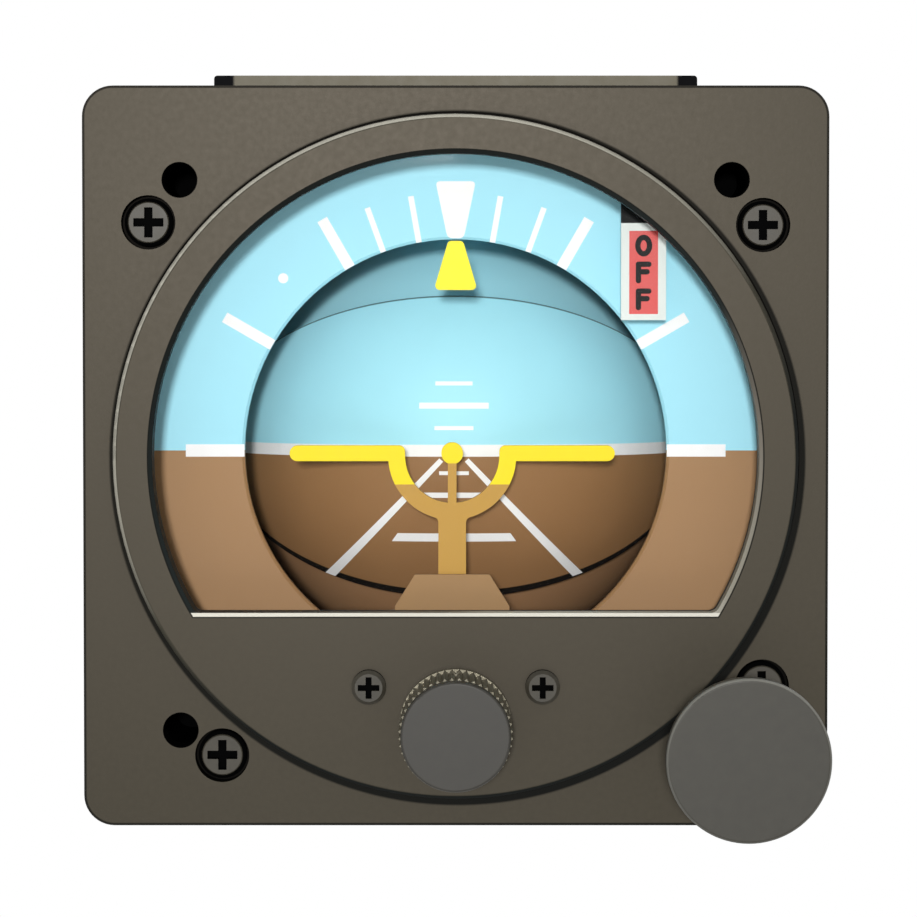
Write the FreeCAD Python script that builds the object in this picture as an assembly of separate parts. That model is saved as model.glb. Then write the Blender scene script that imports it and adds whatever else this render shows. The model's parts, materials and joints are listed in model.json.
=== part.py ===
"""Panel-mounted attitude indicator with a gyro, a rolling dial and a pitch ball.

Millimetres. +X is to the right, +Y goes into the panel and +Z is up.
The origin is on the roll axis, in the front face of the square flange, which bears on the panel's back.
"""
import FreeCAD, Part
import math
import os

V = FreeCAD.Vector

# ---------------------------------------------------------------- driving dimensions
# Bezel casting
flange_width = 85.0
flange_height = 84.5
flange_lift = -0.1          # the square sits this far above the roll axis
flange_corner = 3.5
flange_knob_corner = 11.0   # the corner behind the cage knob is cut back to a larger round
flange_thickness = 3.2
boss_radius = 38.8          # clears the standard 3 1/8 inch panel cut-out
boss_height = 3.0
boss_edge = 0.5
boss_groove_width = 0.4
boss_groove_depth = 0.5
chin_thickness = 4.0
mount_half_spacing = 31.43  # panel holes on a 2.475 inch square
mount_hole_radius = 2.0
mount_boss_radius = 3.0     # blind bosses for the panel screws, behind the case's flange
mount_boss_length = 9.0
mount_boss_end = 1.5

# Window
window_radius = 34.3
window_flat = 17.6          # straight lower edge, below the roll axis
window_corner = 1.1
window_bevel = 0.5
window_lip = 1.8
glass_overlap = 1.9
glass_thickness = 2.0
retainer_width = 1.6
retainer_thickness = 1.2

# Bank index, on the inside of the glass
index_tip_z = 24.5
index_base_z = 18.9
index_tip_width = 1.7
index_base_width = 5.0
index_thickness = 0.3

# Case
case_bore = 37.4
case_wall = 1.6
case_length = 134.0         # back of the case, from the origin
case_flange_thickness = 3.0
case_flange_inset = 1.0     # the case's flange is smaller than the bezel all round
rear_ring_width = 4.4
rear_ring_thickness = 6.0
rear_cover_thickness = 3.0
rear_screw_count = 6

# Electronics cover on top of the case
top_cover_half_width = 28.1
top_cover_top = 43.8
top_cover_front = 7.0
top_cover_length = 66.0
top_cover_wall = 1.0
top_cover_fold = 0.4
top_screw_length = 5.0
top_screw_slot = 0.5
top_post_radius = 2.6
top_post_inset = 6.0
board_thickness = 1.6
board_height = 39.6

# Dial and ball
dial_front = 9.0
dial_thickness = 1.2
dial_opening = 24.8
dial_radius = 36.1
ball_radius = 30.5
ball_wall = 1.0
ball_half_angle = 36.5      # degrees above and below the horizon line
ball_half_width = 26.5
ball_pole_gap = 0.7         # front of the ball behind the dial's front face
ball_cheek = 1.0
ball_hub_radius = 4.5
pitch_range = 25.0          # degrees each way
shield_gap = 1.0            # ball's inner wall to the shields
shield_wall = 0.8
shield_low_angle = 27.0
shield_high_angle = 80.0
shield_half_width = 24.4
strap_half_width = 6.0
strap_wall = 0.8

# Roll frame
arm_inner = 32.0
arm_outer = 34.6
arm_half_height = 9.0
frame_ring_inner = 31.0
frame_ring_thickness = 2.0
frame_plate_thickness = 3.0
roll_shaft_radius = 4.0
roll_bearing_radius = 9.0
roll_bearing_width = 5.0
roll_bearing_spacing = 9.0
hub_wall = 2.5
slip_ring_radius = 6.5
slip_ring_length = 5.0

# Pitch gears, the same size, so the ball turns opposite to the gyro
gear_module = 0.7
gear_teeth = 54
gear_pressure_angle = 20.0
gear_thickness = 1.5
gear_backlash = 0.10
gear_side_gap = 1.0         # cheek to gear
gear_spare_teeth = 2

# Gyro
housing_radius = 20.0
housing_half_height = 19.0
housing_wall = 1.6
housing_swing_room = 30.0   # gyro pitch axis to the frame's back plate
trunnion_radius = 2.0
trunnion_boss_radius = 5.0
trunnion_boss_end = 26.0
pitch_bearing_radius = 4.5
rotor_radius = 16.5
rotor_half_height = 9.0
rotor_web = 4.0
rotor_rim = 4.5
spindle_radius = 1.5
spindle_half_length = 16.5
spin_bearing_radius = 4.0
spin_bearing_width = 3.0

# Miniature airplane and its height adjuster
airplane_front = 4.0
airplane_thickness = 0.9
airplane_half_span = 18.8
wing_width = 1.8
cradle_outer = 7.4
cradle_inner = 5.45
cradle_drop = 0.3           # centre of the cradle's ring below the dot
cradle_fillet = 0.6
airplane_side = -0.4        # the symbol stands a little to the left
airplane_dot_radius = 1.26
post_width = 1.0
stem_width = 3.2
airplane_travel = 2.0       # each way
carrier_thickness = 0.9
carrier_half_width = 8.3
carrier_bottom = 34.0
carrier_top = 18.0
carrier_lap = 4.0           # how far the stem is riveted over the carrier
pinion_teeth = 14
pinion_module = 0.4
pinion_addendum = 0.8       # stub teeth, in modules
rack_backlash = 0.08
set_axis_z = -30.0
set_shaft_radius = 1.5
set_knob_radius = 6.3
set_knob_face_radius = 6.08
set_knob_face_length = 1.5
set_knob_front = 13.0
set_knob_back = 4.0
knurl_count = 48
knurl_depth = 0.35
set_bushing_radius = 3.2
bracket_half_width = 13.0
bracket_thickness = 2.2
bracket_top = 19.6
bracket_bottom = 34.0
shield_top_z = 13.95
shield_top_half_width = 4.3
shield_base_half_width = 6.6
shield_tab_bottom = 24.0
shield_plate = 0.5
guide_pin_radius = 0.75
guide_pin_head = 1.4
guide_pin_head_height = 0.6

# Cage knob
cage_knob_radius = 8.9
cage_knob_front = 19.5
cage_knob_thickness = 6.5
cage_knob_rim = 1.8
cage_neck_radius = 4.6
cage_rod_radius = 1.9
cage_bushing_radius = 2.9
cage_bushing_front = 6.0
cage_bushing_length = 18.0
cage_travel = 8.0
cage_tube_bore = 4.3
cage_tube_wall = 1.5
cage_tube_length = 62.0
cage_collar_y = 42.0
cage_collar_thickness = 1.5
cage_spring_wire = 0.6
cage_spring_turns = 9
cage_finger_y = 50.0
cage_finger_size = 3.0

# Warning flag
flag_left = 19.1
flag_width = 5.2
flag_bottom = 15.4
flag_height = 11.2
flag_front = 4.2
flag_thickness = 0.6
flag_pivot_x = 10.0
flag_pivot_z = 34.6
flag_arm_width = 2.0
flag_pin_radius = 0.7
flag_swing = 20.0           # degrees, out of sight
coil_radius = 1.9
coil_x = 1.0

# Fasteners
bezel_screw_head_radius = 2.75
bezel_screw_bore_radius = 3.1
bezel_screw_bore_depth = 1.7
bezel_screw_head_height = 1.5
bezel_screw_radius = 1.25
bezel_screw_places = ((-35.0, 26.6), (35.0, 26.3), (35.0, -26.4), (-26.7, -34.3))
chin_screw_x = 9.82
chin_screw_z = -25.95
chin_screw_head_radius = 1.95
chin_screw_head_height = 1.1
chin_screw_radius = 1.0
small_screw_head_radius = 2.0
small_screw_head_height = 1.2
small_screw_radius = 1.0

# Electrical connector
connector_x = 18.0
connector_z = -16.0
connector_flange = 17.0
connector_flange_thickness = 1.8
connector_radius = 6.6
connector_wall = 0.9
connector_length = 13.0
connector_insert_length = 7.0
connector_pin_radius = 0.8
connector_pin_circle = 2.9
connector_screw_spacing = 13.0

# Clearances
running_gap = 0.05          # shaft in a hole, on the radius
fit_gap = 0.15              # parts that are laid in a recess
swing_gap = 0.8             # moving parts past fixed ones
thread_gap = 0.0            # threads are modelled at their full radius

# ---------------------------------------------------------------- derived places
glass_front = window_lip - boss_height
glass_back = glass_front + glass_thickness
retainer_back = glass_back + retainer_thickness
glass_radius = window_radius + glass_overlap
glass_flat = window_flat + glass_overlap
chin_back = chin_thickness - boss_height
case_flange_back = flange_thickness + case_flange_thickness
case_radius = case_bore + case_wall
ball_axis_y = dial_front + ball_pole_gap + ball_radius
gear_pitch_radius = gear_module * gear_teeth / 2
gyro_axis_y = ball_axis_y + 2 * gear_pitch_radius
dial_back = dial_front + dial_thickness
frame_back = gyro_axis_y + housing_swing_room
frame_end = frame_back + frame_plate_thickness
ring_back = dial_back + frame_ring_thickness
gear_inner = ball_half_width + gear_side_gap
hub_front = frame_end + slip_ring_length + 2 * swing_gap
bearing_front_y = hub_front + swing_gap
bearing_rear_y = bearing_front_y + roll_bearing_spacing
shaft_end = bearing_rear_y + roll_bearing_width
bracket_back = chin_back + bracket_thickness
airplane_back = airplane_front + airplane_thickness
carrier_back = airplane_back + carrier_thickness
pinion_pitch_radius = pinion_teeth * pinion_module / 2
cage_x = mount_half_spacing
cage_z = -mount_half_spacing
rear_screw_circle = case_bore - rear_ring_width / 2
mount_places = ((-mount_half_spacing, mount_half_spacing),
                (mount_half_spacing, mount_half_spacing),
                (-mount_half_spacing, -mount_half_spacing))


# ---------------------------------------------------------------- small shape helpers
def block(x0, x1, y0, y1, z0, z1):
    """A box between two corners."""
    return Part.makeBox(x1 - x0, y1 - y0, z1 - z0, V(x0, y0, z0))


def rod_y(radius, y0, y1, x=0.0, z=0.0):
    """A cylinder along Y."""
    return Part.makeCylinder(radius, y1 - y0, V(x, y0, z), V(0, 1, 0))


def rod_x(radius, x0, x1, y, z=0.0):
    """A cylinder along X."""
    return Part.makeCylinder(radius, x1 - x0, V(x0, y, z), V(1, 0, 0))


def rod_z(radius, z0, z1, x, y):
    """A cylinder along Z."""
    return Part.makeCylinder(radius, z1 - z0, V(x, y, z0), V(0, 0, 1))


def ring_y(outer, inner, y0, y1, x=0.0, z=0.0):
    """A flat ring about an axis along Y."""
    return rod_y(outer, y0, y1, x, z).cut(rod_y(inner, y0 - 1, y1 + 1, x, z))


def plate(points, y0, y1):
    """A polygon in X and Z, thickened from y0 to y1."""
    corners = [V(x, y0, z) for x, z in points]
    face = Part.Face(Part.makePolygon(corners + [corners[0]]))
    return face.extrude(V(0, y1 - y0, 0))


def side_plate(points, x0, x1):
    """A polygon in Y and Z, thickened from x0 to x1."""
    corners = [V(x0, y, z) for y, z in points]
    face = Part.Face(Part.makePolygon(corners + [corners[0]]))
    return face.extrude(V(x1 - x0, 0, 0))


def edges_along_y(shape):
    """The straight edges of a shape that run along Y."""
    found = []
    for edge in shape.Edges:
        if len(edge.Vertexes) == 2 and isinstance(edge.Curve, Part.Line):
            if abs(edge.tangentAt(edge.FirstParameter).y) > 0.999:
                found.append(edge)
    return found


def rounded_square(width, height, corner, y0, y1, z_middle):
    """A square plate with rounded corners."""
    shape = block(-width / 2, width / 2, y0, y1, z_middle - height / 2, z_middle + height / 2)
    return shape.makeFillet(corner, edges_along_y(shape))


def bezel_flange(inset, y0, y1):
    """The square flange, smaller by an inset all round, cut back at the corner behind the cage knob."""
    shape = rounded_square(flange_width - 2 * inset, flange_height - 2 * inset, flange_corner, y0, y1, flange_lift)
    round_x = flange_width / 2 - flange_knob_corner
    round_z = flange_lift - flange_height / 2 + flange_knob_corner
    corner = block(round_x, flange_width, y0, y1, -flange_height, round_z)
    corner = corner.cut(rod_y(flange_knob_corner - inset, y0, y1, round_x, round_z))
    return shape.cut(corner)


def d_disc(radius, flat, corner, y0, y1):
    """A disc along Y with a straight lower edge and rounded lower corners."""
    disc = rod_y(radius, y0, y1)
    disc = disc.cut(block(-2 * radius, 2 * radius, y0 - 1, y1 + 1, -2 * radius, -flat))
    corners = [edge for edge in edges_along_y(disc) if edge.CenterOfMass.z < -flat + 0.01]
    return disc.makeFillet(corner, corners) if corner else disc


def mirror_x(shape):
    """The same shape on the other side of the roll axis."""
    return shape.mirror(V(0, 0, 0), V(1, 0, 0))


def turn(shape, angle, axis, centre):
    """A turned copy of a shape."""
    copy = shape.copy()
    copy.rotate(centre, axis, angle)
    return copy


def fuse(shapes):
    """One clean solid from touching shapes."""
    first = shapes[0]
    return first.fuse(shapes[1:]).removeSplitter() if len(shapes) > 1 else first


def cut_all(shape, tools):
    """A shape with every tool cut out of it."""
    return shape.cut(Part.makeCompound(tools))


def cross_recess(x, z, front, reach, depth):
    """The cross-shaped hole of a screw whose head faces -Y."""
    slot = reach * 0.28
    upright = block(x - slot / 2, x + slot / 2, front - 1, front + depth, z - reach / 2, z + reach / 2)
    level = block(x - reach / 2, x + reach / 2, front - 1, front + depth, z - slot / 2, z + slot / 2)
    return upright.fuse(level)


def front_screw(x, z, front, head_radius, head_height, shank_radius, end):
    """A screw driven from the front: rounded head, cross recess and shank."""
    head = rod_y(head_radius, front, front + head_height, x, z)
    rim = [edge for edge in head.Edges if abs(edge.CenterOfMass.y - front) < 0.001]
    head = head.makeChamfer(head_height * 0.35, rim)
    shank = rod_y(shank_radius, front + head_height, end, x, z)
    return head.fuse(shank).cut(cross_recess(x, z, front, head_radius * 1.25, head_height * 0.7))


def rear_screw(x, z, seat, head_radius, head_height, shank_radius, end):
    """The same screw driven from the back."""
    screw = front_screw(x, z, -seat - head_height, head_radius, head_height, shank_radius, -end)
    return screw.mirror(V(0, 0, 0), V(0, 1, 0))


def circle_places(count, radius, start=0.0):
    """Evenly spaced places on a circle about the roll axis."""
    steps = [math.radians(start + 360.0 * i / count) for i in range(count)]
    return [(radius * math.cos(step), radius * math.sin(step)) for step in steps]


def save(name, shape):
    """Write one sub-part as STEP, after a validity check."""
    assert shape.isValid() and shape.Volume > 0, name
    shape.exportStep("parts/" + name + ".step")


# ---------------------------------------------------------------- gear teeth
def involute(base, radius):
    """Polar angle of an involute where it crosses a radius."""
    ratio = max(radius / base, 1.0)
    return math.sqrt(ratio * ratio - 1) - math.acos(1 / ratio)


def tooth_outline(module, teeth, addendum, backlash, steps=4):
    """One tooth as (angle, radius) pairs from root to root, about its middle line."""
    pitch = module * teeth / 2
    base = pitch * math.cos(math.radians(gear_pressure_angle))
    tip = pitch + addendum * module
    root = pitch - 1.25 * module
    half = math.pi / (2 * teeth) - backlash / (2 * pitch) + involute(base, pitch)
    start = max(base, root)
    flank = []
    for i in range(steps + 1):
        radius = start + (tip - start) * i / steps
        flank.append((half - involute(base, radius), radius))
    if root < base:
        flank.insert(0, (half, root))
    right = [(-angle, radius) for angle, radius in flank]
    return right + list(reversed(flank))


def gear_points(module, teeth, numbers, addendum, backlash, phase):
    """Polar points of a run of teeth, in radians, counted from the phase angle."""
    points = []
    for number in numbers:
        middle = phase + 2 * math.pi * number / teeth
        for angle, radius in tooth_outline(module, teeth, addendum, backlash):
            points.append((middle + angle, radius))
    return points


def sector_gear(axis_y, towards, half_step):
    """A toothed sector about a lateral axis; towards is +1 for teeth that face +Y."""
    pitch_step = 2 * math.pi / gear_teeth
    reach = int(math.ceil(math.radians(pitch_range) / pitch_step)) + gear_spare_teeth
    numbers = [n + (0.5 if half_step else 0.0) for n in range(-reach, reach + 1)]
    if half_step:
        numbers = numbers[:-1]
    teeth = gear_points(gear_module, gear_teeth, numbers, 1.0, gear_backlash, 0.0)
    corners = [(axis_y + towards * r * math.cos(a), r * math.sin(a)) for a, r in teeth]
    inner = gear_pitch_radius - 4.5 * gear_module
    first = teeth[0][0]
    last = teeth[-1][0]
    arc = [last + (first - last) * i / 8 for i in range(9)]
    corners += [(axis_y + towards * inner * math.cos(a), inner * math.sin(a)) for a in arc]
    rim = side_plate(corners, gear_inner, gear_inner + gear_thickness)
    web = [(axis_y, ball_hub_radius * 0.8), (axis_y, -ball_hub_radius * 0.8)]
    for side in (-0.45, 0.45):
        web.append((axis_y + towards * (inner + gear_module) * math.cos(side), (inner + gear_module) * math.sin(side)))
    spoke = side_plate(web, gear_inner, gear_inner + gear_thickness)
    hub = rod_x(ball_hub_radius, gear_inner, gear_inner + gear_thickness, axis_y)
    return fuse([rim, spoke, hub])


# ---------------------------------------------------------------- bezel and window
def bezel():
    """Cast square flange with the round boss, the window and the chin."""
    body = bezel_flange(0, 0, flange_thickness)
    groove = ring_y(boss_radius + boss_groove_width, boss_radius, -1, boss_groove_depth)
    body = body.cut(groove)
    boss = rod_y(boss_radius, -boss_height, flange_thickness / 2)
    rim = [edge for edge in boss.Edges if abs(edge.CenterOfMass.y + boss_height) < 0.001]
    boss = boss.makeFillet(boss_edge, rim)
    body = body.fuse(boss)
    tools = [d_disc(window_radius, window_flat, window_corner, -boss_height - 1, chin_back + 1)]
    bevel = d_disc(window_radius + window_bevel, window_flat + window_bevel, window_corner,
                   -boss_height - 1, -boss_height + 0.01)
    tools.append(bevel)
    recess = d_disc(glass_radius + fit_gap, glass_flat + fit_gap, window_corner, glass_front, flange_thickness + 1)
    tools.append(recess)
    tools.append(rod_y(case_bore, chin_back, flange_thickness + 1))
    for x, z in mount_places:
        tools.append(rod_y(mount_hole_radius, -1, flange_thickness + 1, x, z))
    for x, z in bezel_screw_places:
        tools.append(rod_y(bezel_screw_bore_radius, -1, bezel_screw_bore_depth, x, z))
        tools.append(rod_y(bezel_screw_radius + running_gap, 0, flange_thickness + 1, x, z))
    for side in (-1, 1):
        tools.append(rod_y(chin_screw_radius + running_gap, -boss_height - 1, chin_back + 1,
                           side * chin_screw_x, chin_screw_z))
    tools.append(rod_y(set_bushing_radius, -boss_height - 1, chin_back + 1, 0, set_axis_z))
    tools.append(rod_y(cage_bushing_radius, -1, flange_thickness + 1, cage_x, cage_z))
    tools.append(flag_pocket(flag_front - 2 * fit_gap - 1, flange_thickness + 1))
    return cut_all(body, tools)


def window_glass():
    return d_disc(glass_radius, glass_flat, window_corner, glass_front, glass_back)


def glass_retainer():
    """Flat ring that holds the glass in its recess."""
    ring = d_disc(glass_radius, glass_flat, window_corner, glass_back, retainer_back)
    return ring.cut(d_disc(glass_radius - retainer_width, glass_flat - retainer_width, window_corner,
                           glass_back - 1, retainer_back + 1))


def bank_index():
    """Pointer bonded to the inside of the glass."""
    tip = index_tip_width / 2
    base = index_base_width / 2
    shape = plate([(-tip, index_tip_z), (tip, index_tip_z), (base, index_base_z), (-base, index_base_z)],
                  glass_back, glass_back + index_thickness)
    return shape.makeFillet(index_tip_width * 0.3, edges_along_y(shape))


def bezel_screws():
    front = bezel_screw_bore_depth - bezel_screw_head_height
    screws = [front_screw(x, z, front, bezel_screw_head_radius, bezel_screw_head_height,
                          bezel_screw_radius, case_flange_back) for x, z in bezel_screw_places]
    return Part.makeCompound(screws)


# ---------------------------------------------------------------- case
def case_body():
    """Round case with a square front flange, a rear ring and a tube for the caging rod."""
    flange = bezel_flange(case_flange_inset, flange_thickness, case_flange_back)
    tube_radius = cage_tube_bore + cage_tube_wall
    outer = [flange, rod_y(case_radius, flange_thickness, case_length),
             rod_y(tube_radius, flange_thickness, cage_tube_length, cage_x, cage_z)]
    for x, y in top_post_places():
        outer.append(rod_z(top_post_radius, case_bore * 0.6, top_cover_top - top_cover_wall, x, y))
    boss_back = case_flange_back + mount_boss_length
    for x, z in mount_places:
        outer.append(rod_y(mount_boss_radius, flange_thickness, boss_back, x, z))
    body = fuse(outer)
    room = rod_y(case_bore, 0, case_length - rear_ring_thickness)
    mouth = rod_y(case_bore - rear_ring_width, 0, case_length + 1)
    tools = [room, mouth, flag_pocket(flange_thickness - 1, flag_front + flag_thickness + swing_gap)]
    tools.append(coil_bore())
    tools.append(rod_y(cage_tube_bore, cage_bushing_length - cage_bushing_front, cage_tube_length - cage_tube_wall,
                       cage_x, cage_z))
    tools.append(rod_y(cage_bushing_radius, 0, cage_tube_length / 2, cage_x, cage_z))
    tools.append(rod_y(cage_rod_radius + running_gap, 0, cage_tube_length + 1, cage_x, cage_z))
    tools.append(cage_slot())
    for x, z in mount_places:
        tools.append(rod_y(mount_hole_radius, 0, boss_back - mount_boss_end, x, z))
    for x, z in bezel_screw_places:
        tools.append(rod_y(bezel_screw_radius + thread_gap, 0, case_flange_back + 1, x, z))
    for x, z in circle_places(rear_screw_count, rear_screw_circle, 30.0):
        tools.append(rod_y(small_screw_radius + thread_gap, case_length - rear_ring_thickness - 1, case_length + 1, x, z))
    for x, y in top_post_places():
        tools.append(rod_z(small_screw_radius + thread_gap, top_cover_top - top_screw_length - 1, top_cover_top, x, y))
    return cut_all(body, tools)


def rear_cover():
    """Back plate with the hub that holds the roll bearings."""
    hub_radius = roll_bearing_radius + hub_wall
    disc = rod_y(case_radius, case_length, case_length + rear_cover_thickness)
    rim = [edge for edge in disc.Edges if abs(edge.CenterOfMass.y - case_length - rear_cover_thickness) < 0.001]
    disc = disc.makeFillet(rear_cover_thickness * 0.4, rim)
    body = disc.fuse(rod_y(hub_radius, hub_front, case_length + 1))
    tools = [rod_y(roll_bearing_radius, bearing_front_y, shaft_end)]
    tools.append(rod_y(roll_bearing_radius - 1.5, hub_front - 1, shaft_end))
    for x, z in circle_places(rear_screw_count, rear_screw_circle, 30.0):
        tools.append(rod_y(small_screw_radius + running_gap, case_length - 1, case_length + 10, x, z))
    tools.append(rod_y(connector_radius - connector_wall, case_length - 1, case_length + 10,
                       connector_x, connector_z))
    for x, z in connector_screw_places():
        tools.append(rod_y(small_screw_radius + thread_gap, case_length - 1, case_length + 10, x, z))
    return cut_all(body, tools)


def rear_cover_screws():
    seat = case_length + rear_cover_thickness
    screws = [rear_screw(x, z, seat, small_screw_head_radius, small_screw_head_height, small_screw_radius,
                         case_length - rear_ring_thickness + 1)
              for x, z in circle_places(rear_screw_count, rear_screw_circle, 30.0)]
    return Part.makeCompound(screws)


def top_post_places():
    """Screw posts under the electronics cover, as (x, y)."""
    x = top_cover_half_width - top_post_inset
    front = top_cover_front + top_post_inset
    back = top_cover_front + top_cover_length - top_post_inset
    return [(-x, front), (x, front), (-x, back), (x, back)]


def top_cover():
    """Sheet cover over the electronics, seated on the round case."""
    back = top_cover_front + top_cover_length
    box = block(-top_cover_half_width, top_cover_half_width, top_cover_front, back, 0, top_cover_top)
    top_edges = [edge for edge in box.Edges if edge.CenterOfMass.z > 1 and len(edge.Vertexes) == 2]
    top_edges = [edge for edge in top_edges if abs(edge.CenterOfMass.x) > 1 and edge.Length > top_cover_length - 1]
    box = box.makeFillet(top_cover_fold, top_edges)
    wall = top_cover_wall
    inside = block(-top_cover_half_width + wall, top_cover_half_width - wall, top_cover_front + wall,
                   back - wall, -1, top_cover_top - wall)
    tools = [inside, rod_y(case_radius, 0, back + 10), block(-50, 50, 0, back + 10, -1, case_radius / 2)]
    for x, y in top_post_places():
        tools.append(flat_head(x, y, running_gap))
    return cut_all(box, tools)


def flat_head(x, y, gap):
    """Countersunk head and shank of a cover screw, grown all round by a gap."""
    depth = small_screw_head_radius - small_screw_radius
    head = Part.makeCone(small_screw_radius + gap, small_screw_head_radius + gap, depth,
                         V(x, y, top_cover_top - depth), V(0, 0, 1))
    return head.fuse(rod_z(small_screw_radius + gap, top_cover_top - top_screw_length, top_cover_top - depth, x, y))


def top_cover_screws():
    screws = []
    for x, y in top_post_places():
        reach = small_screw_head_radius * 1.2
        slot = block(x - reach, x + reach, y - top_screw_slot / 2, y + top_screw_slot / 2,
                     top_cover_top - top_screw_slot, top_cover_top + 1)
        screws.append(flat_head(x, y, 0).cut(slot))
    return Part.makeCompound(screws)


def inverter_board():
    """Circuit board with its larger components, held on the cover's posts."""
    x = top_cover_half_width - top_cover_wall - fit_gap
    y0 = top_cover_front + top_cover_wall + fit_gap
    y1 = top_cover_front + top_cover_length - top_cover_wall - fit_gap
    board = block(-x, x, y0, y1, board_height, board_height + board_thickness)
    holes = [rod_z(top_post_radius + fit_gap, 0, top_cover_top, px, py) for px, py in top_post_places()]
    board = cut_all(board, holes)
    top = board_height + board_thickness
    room = top_cover_top - top_cover_wall - top
    middle = (y0 + y1) / 2
    parts = [board, block(-10, 2, middle - 9, middle + 9, top, top + room * 0.8)]
    parts.append(rod_z(3.0, top, top + room * 0.7, 9, middle - 6))
    parts.append(rod_z(3.0, top, top + room * 0.7, 9, middle + 6))
    return fuse(parts)


# ---------------------------------------------------------------- electrical connector
def connector_screw_places():
    half = connector_screw_spacing / 2
    return [(connector_x + sx * half, connector_z + sz * half) for sx in (-1, 1) for sz in (-1, 1)]


def connector_shell():
    """Square-flanged receptacle shell on the back cover."""
    seat = case_length + rear_cover_thickness
    half = connector_flange / 2
    flange = block(connector_x - half, connector_x + half, seat, seat + connector_flange_thickness,
                   connector_z - half, connector_z + half)
    flange = flange.makeFillet(half * 0.25, edges_along_y(flange))
    barrel = rod_y(connector_radius, seat, seat + connector_length, connector_x, connector_z)
    tools = [rod_y(connector_radius - connector_wall, seat - 1, seat + connector_length + 1, connector_x, connector_z)]
    for x, z in connector_screw_places():
        tools.append(rod_y(small_screw_radius + running_gap, seat - 1, seat + connector_flange_thickness + 1, x, z))
    return cut_all(flange.fuse(barrel), tools)


def connector_insert():
    """Insulating insert that carries the contacts."""
    seat = case_length + rear_cover_thickness
    body = rod_y(connector_radius - connector_wall, seat - rear_cover_thickness, seat + connector_insert_length,
                 connector_x, connector_z)
    holes = [rod_y(connector_pin_radius, seat - 10, seat + 20, connector_x + x, connector_z + z)
             for x, z in circle_places(3, connector_pin_circle, 90.0)]
    return cut_all(body, holes)


def connector_pins():
    seat = case_length + rear_cover_thickness
    pins = []
    for x, z in circle_places(3, connector_pin_circle, 90.0):
        end = seat + connector_length - 1.0
        pin = rod_y(connector_pin_radius, seat - rear_cover_thickness, end, connector_x + x, connector_z + z)
        tip = [edge for edge in pin.Edges if abs(edge.CenterOfMass.y - end) < 0.001]
        pins.append(pin.makeChamfer(connector_pin_radius * 0.5, tip))
    return Part.makeCompound(pins)


def connector_screws():
    seat = case_length + rear_cover_thickness + connector_flange_thickness
    screws = [rear_screw(x, z, seat, small_screw_head_radius * 0.8, small_screw_head_height, small_screw_radius,
                         case_length) for x, z in connector_screw_places()]
    return Part.makeCompound(screws)


# ---------------------------------------------------------------- rolling dial and frame
def bank_dial():
    """Flat ring that carries the bank marks."""
    ring = ring_y(dial_radius, dial_opening, dial_front, dial_back)
    lip = [edge for edge in ring.Edges if abs(edge.CenterOfMass.y - dial_front) < 0.001
           and edge.BoundBox.XLength < 2 * dial_opening + 1]
    return ring.makeChamfer(0.3, lip)


def roll_frame():
    """Outer gimbal: front ring, two side arms and a back plate."""
    ring = ring_y(dial_radius - fit_gap, frame_ring_inner, dial_back, ring_back)
    arm = block(arm_inner, arm_outer, dial_back, frame_end, -arm_half_height, arm_half_height)
    arms = [arm, mirror_x(arm)]
    back = rod_y(arm_outer, frame_back, frame_end)
    keep = block(-arm_outer, arm_outer, frame_back - 1, frame_end + 1, -2 * arm_half_height, 2 * arm_half_height)
    body = fuse([ring] + arms + [back.common(keep)])
    limit = rod_y(dial_radius - fit_gap, 0, frame_end + 1)
    body = body.common(limit)
    tools = [rod_y(roll_shaft_radius, frame_back - 1, frame_end + 1)]
    tools.append(rod_x(ball_pin_radius() + running_gap, -50, 50, ball_axis_y))
    tools.append(rod_x(pitch_bearing_radius, arm_inner - 1, arm_outer + 1, gyro_axis_y))
    tools.append(rod_x(pitch_bearing_radius, -arm_outer - 1, -arm_inner + 1, gyro_axis_y))
    window = lighten_window(ball_axis_y + 8, gyro_axis_y - 8)
    tools += [window, mirror_x(window)]
    for x in (-17, 17):
        tools.append(rod_y(6.0, frame_back - 1, frame_end + 1, x, 0))
    return cut_all(body, tools)


def lighten_window(y0, y1):
    """Long rounded hole that lightens a side arm."""
    half = arm_half_height * 0.5
    ends = [rod_x(half, arm_inner - 1, arm_outer + 1, y, 0) for y in (y0 + half, y1 - half)]
    middle = block(arm_inner - 1, arm_outer + 1, y0 + half, y1 - half, -half, half)
    return fuse(ends + [middle])


def ball_pin_radius():
    return trunnion_radius * 0.7


def roll_shaft():
    """Hollow shaft that carries the roll frame, with a seat flange."""
    shaft = rod_y(roll_shaft_radius, frame_back, shaft_end)
    flange = rod_y(roll_shaft_radius + 3, frame_back - 1.5, frame_back)
    return shaft.fuse(flange).cut(rod_y(roll_shaft_radius * 0.45, frame_back - 5, shaft_end + 1))


def slip_rings():
    """Insulating sleeve with three raised contact rings."""
    start = frame_end + swing_gap
    body = ring_y(slip_ring_radius - 0.8, roll_shaft_radius, start, start + slip_ring_length)
    pitch = slip_ring_length / 3
    rings = [ring_y(slip_ring_radius, roll_shaft_radius, start + pitch * (i + 0.2), start + pitch * (i + 0.8))
             for i in range(3)]
    return fuse([body] + rings)


def brush_block():
    """Insulating block on the hub that carries the brushes."""
    start = frame_end + swing_gap
    z = -slip_ring_radius - 1.2
    return block(-4, 4, start, hub_front, z - 4, z)


def brushes():
    """Three wires that bear on the slip rings."""
    start = frame_end + swing_gap
    pitch = slip_ring_length / 3
    z = -slip_ring_radius - 1.2
    wires = [rod_z(0.3, z, -slip_ring_radius - running_gap, 0, start + pitch * (i + 0.5)) for i in range(3)]
    return Part.makeCompound(wires)


def ball_bearing_y(y):
    """Simple bearing between the roll shaft and the hub."""
    return ring_y(roll_bearing_radius, roll_shaft_radius + running_gap, y, y + roll_bearing_width)


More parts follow.
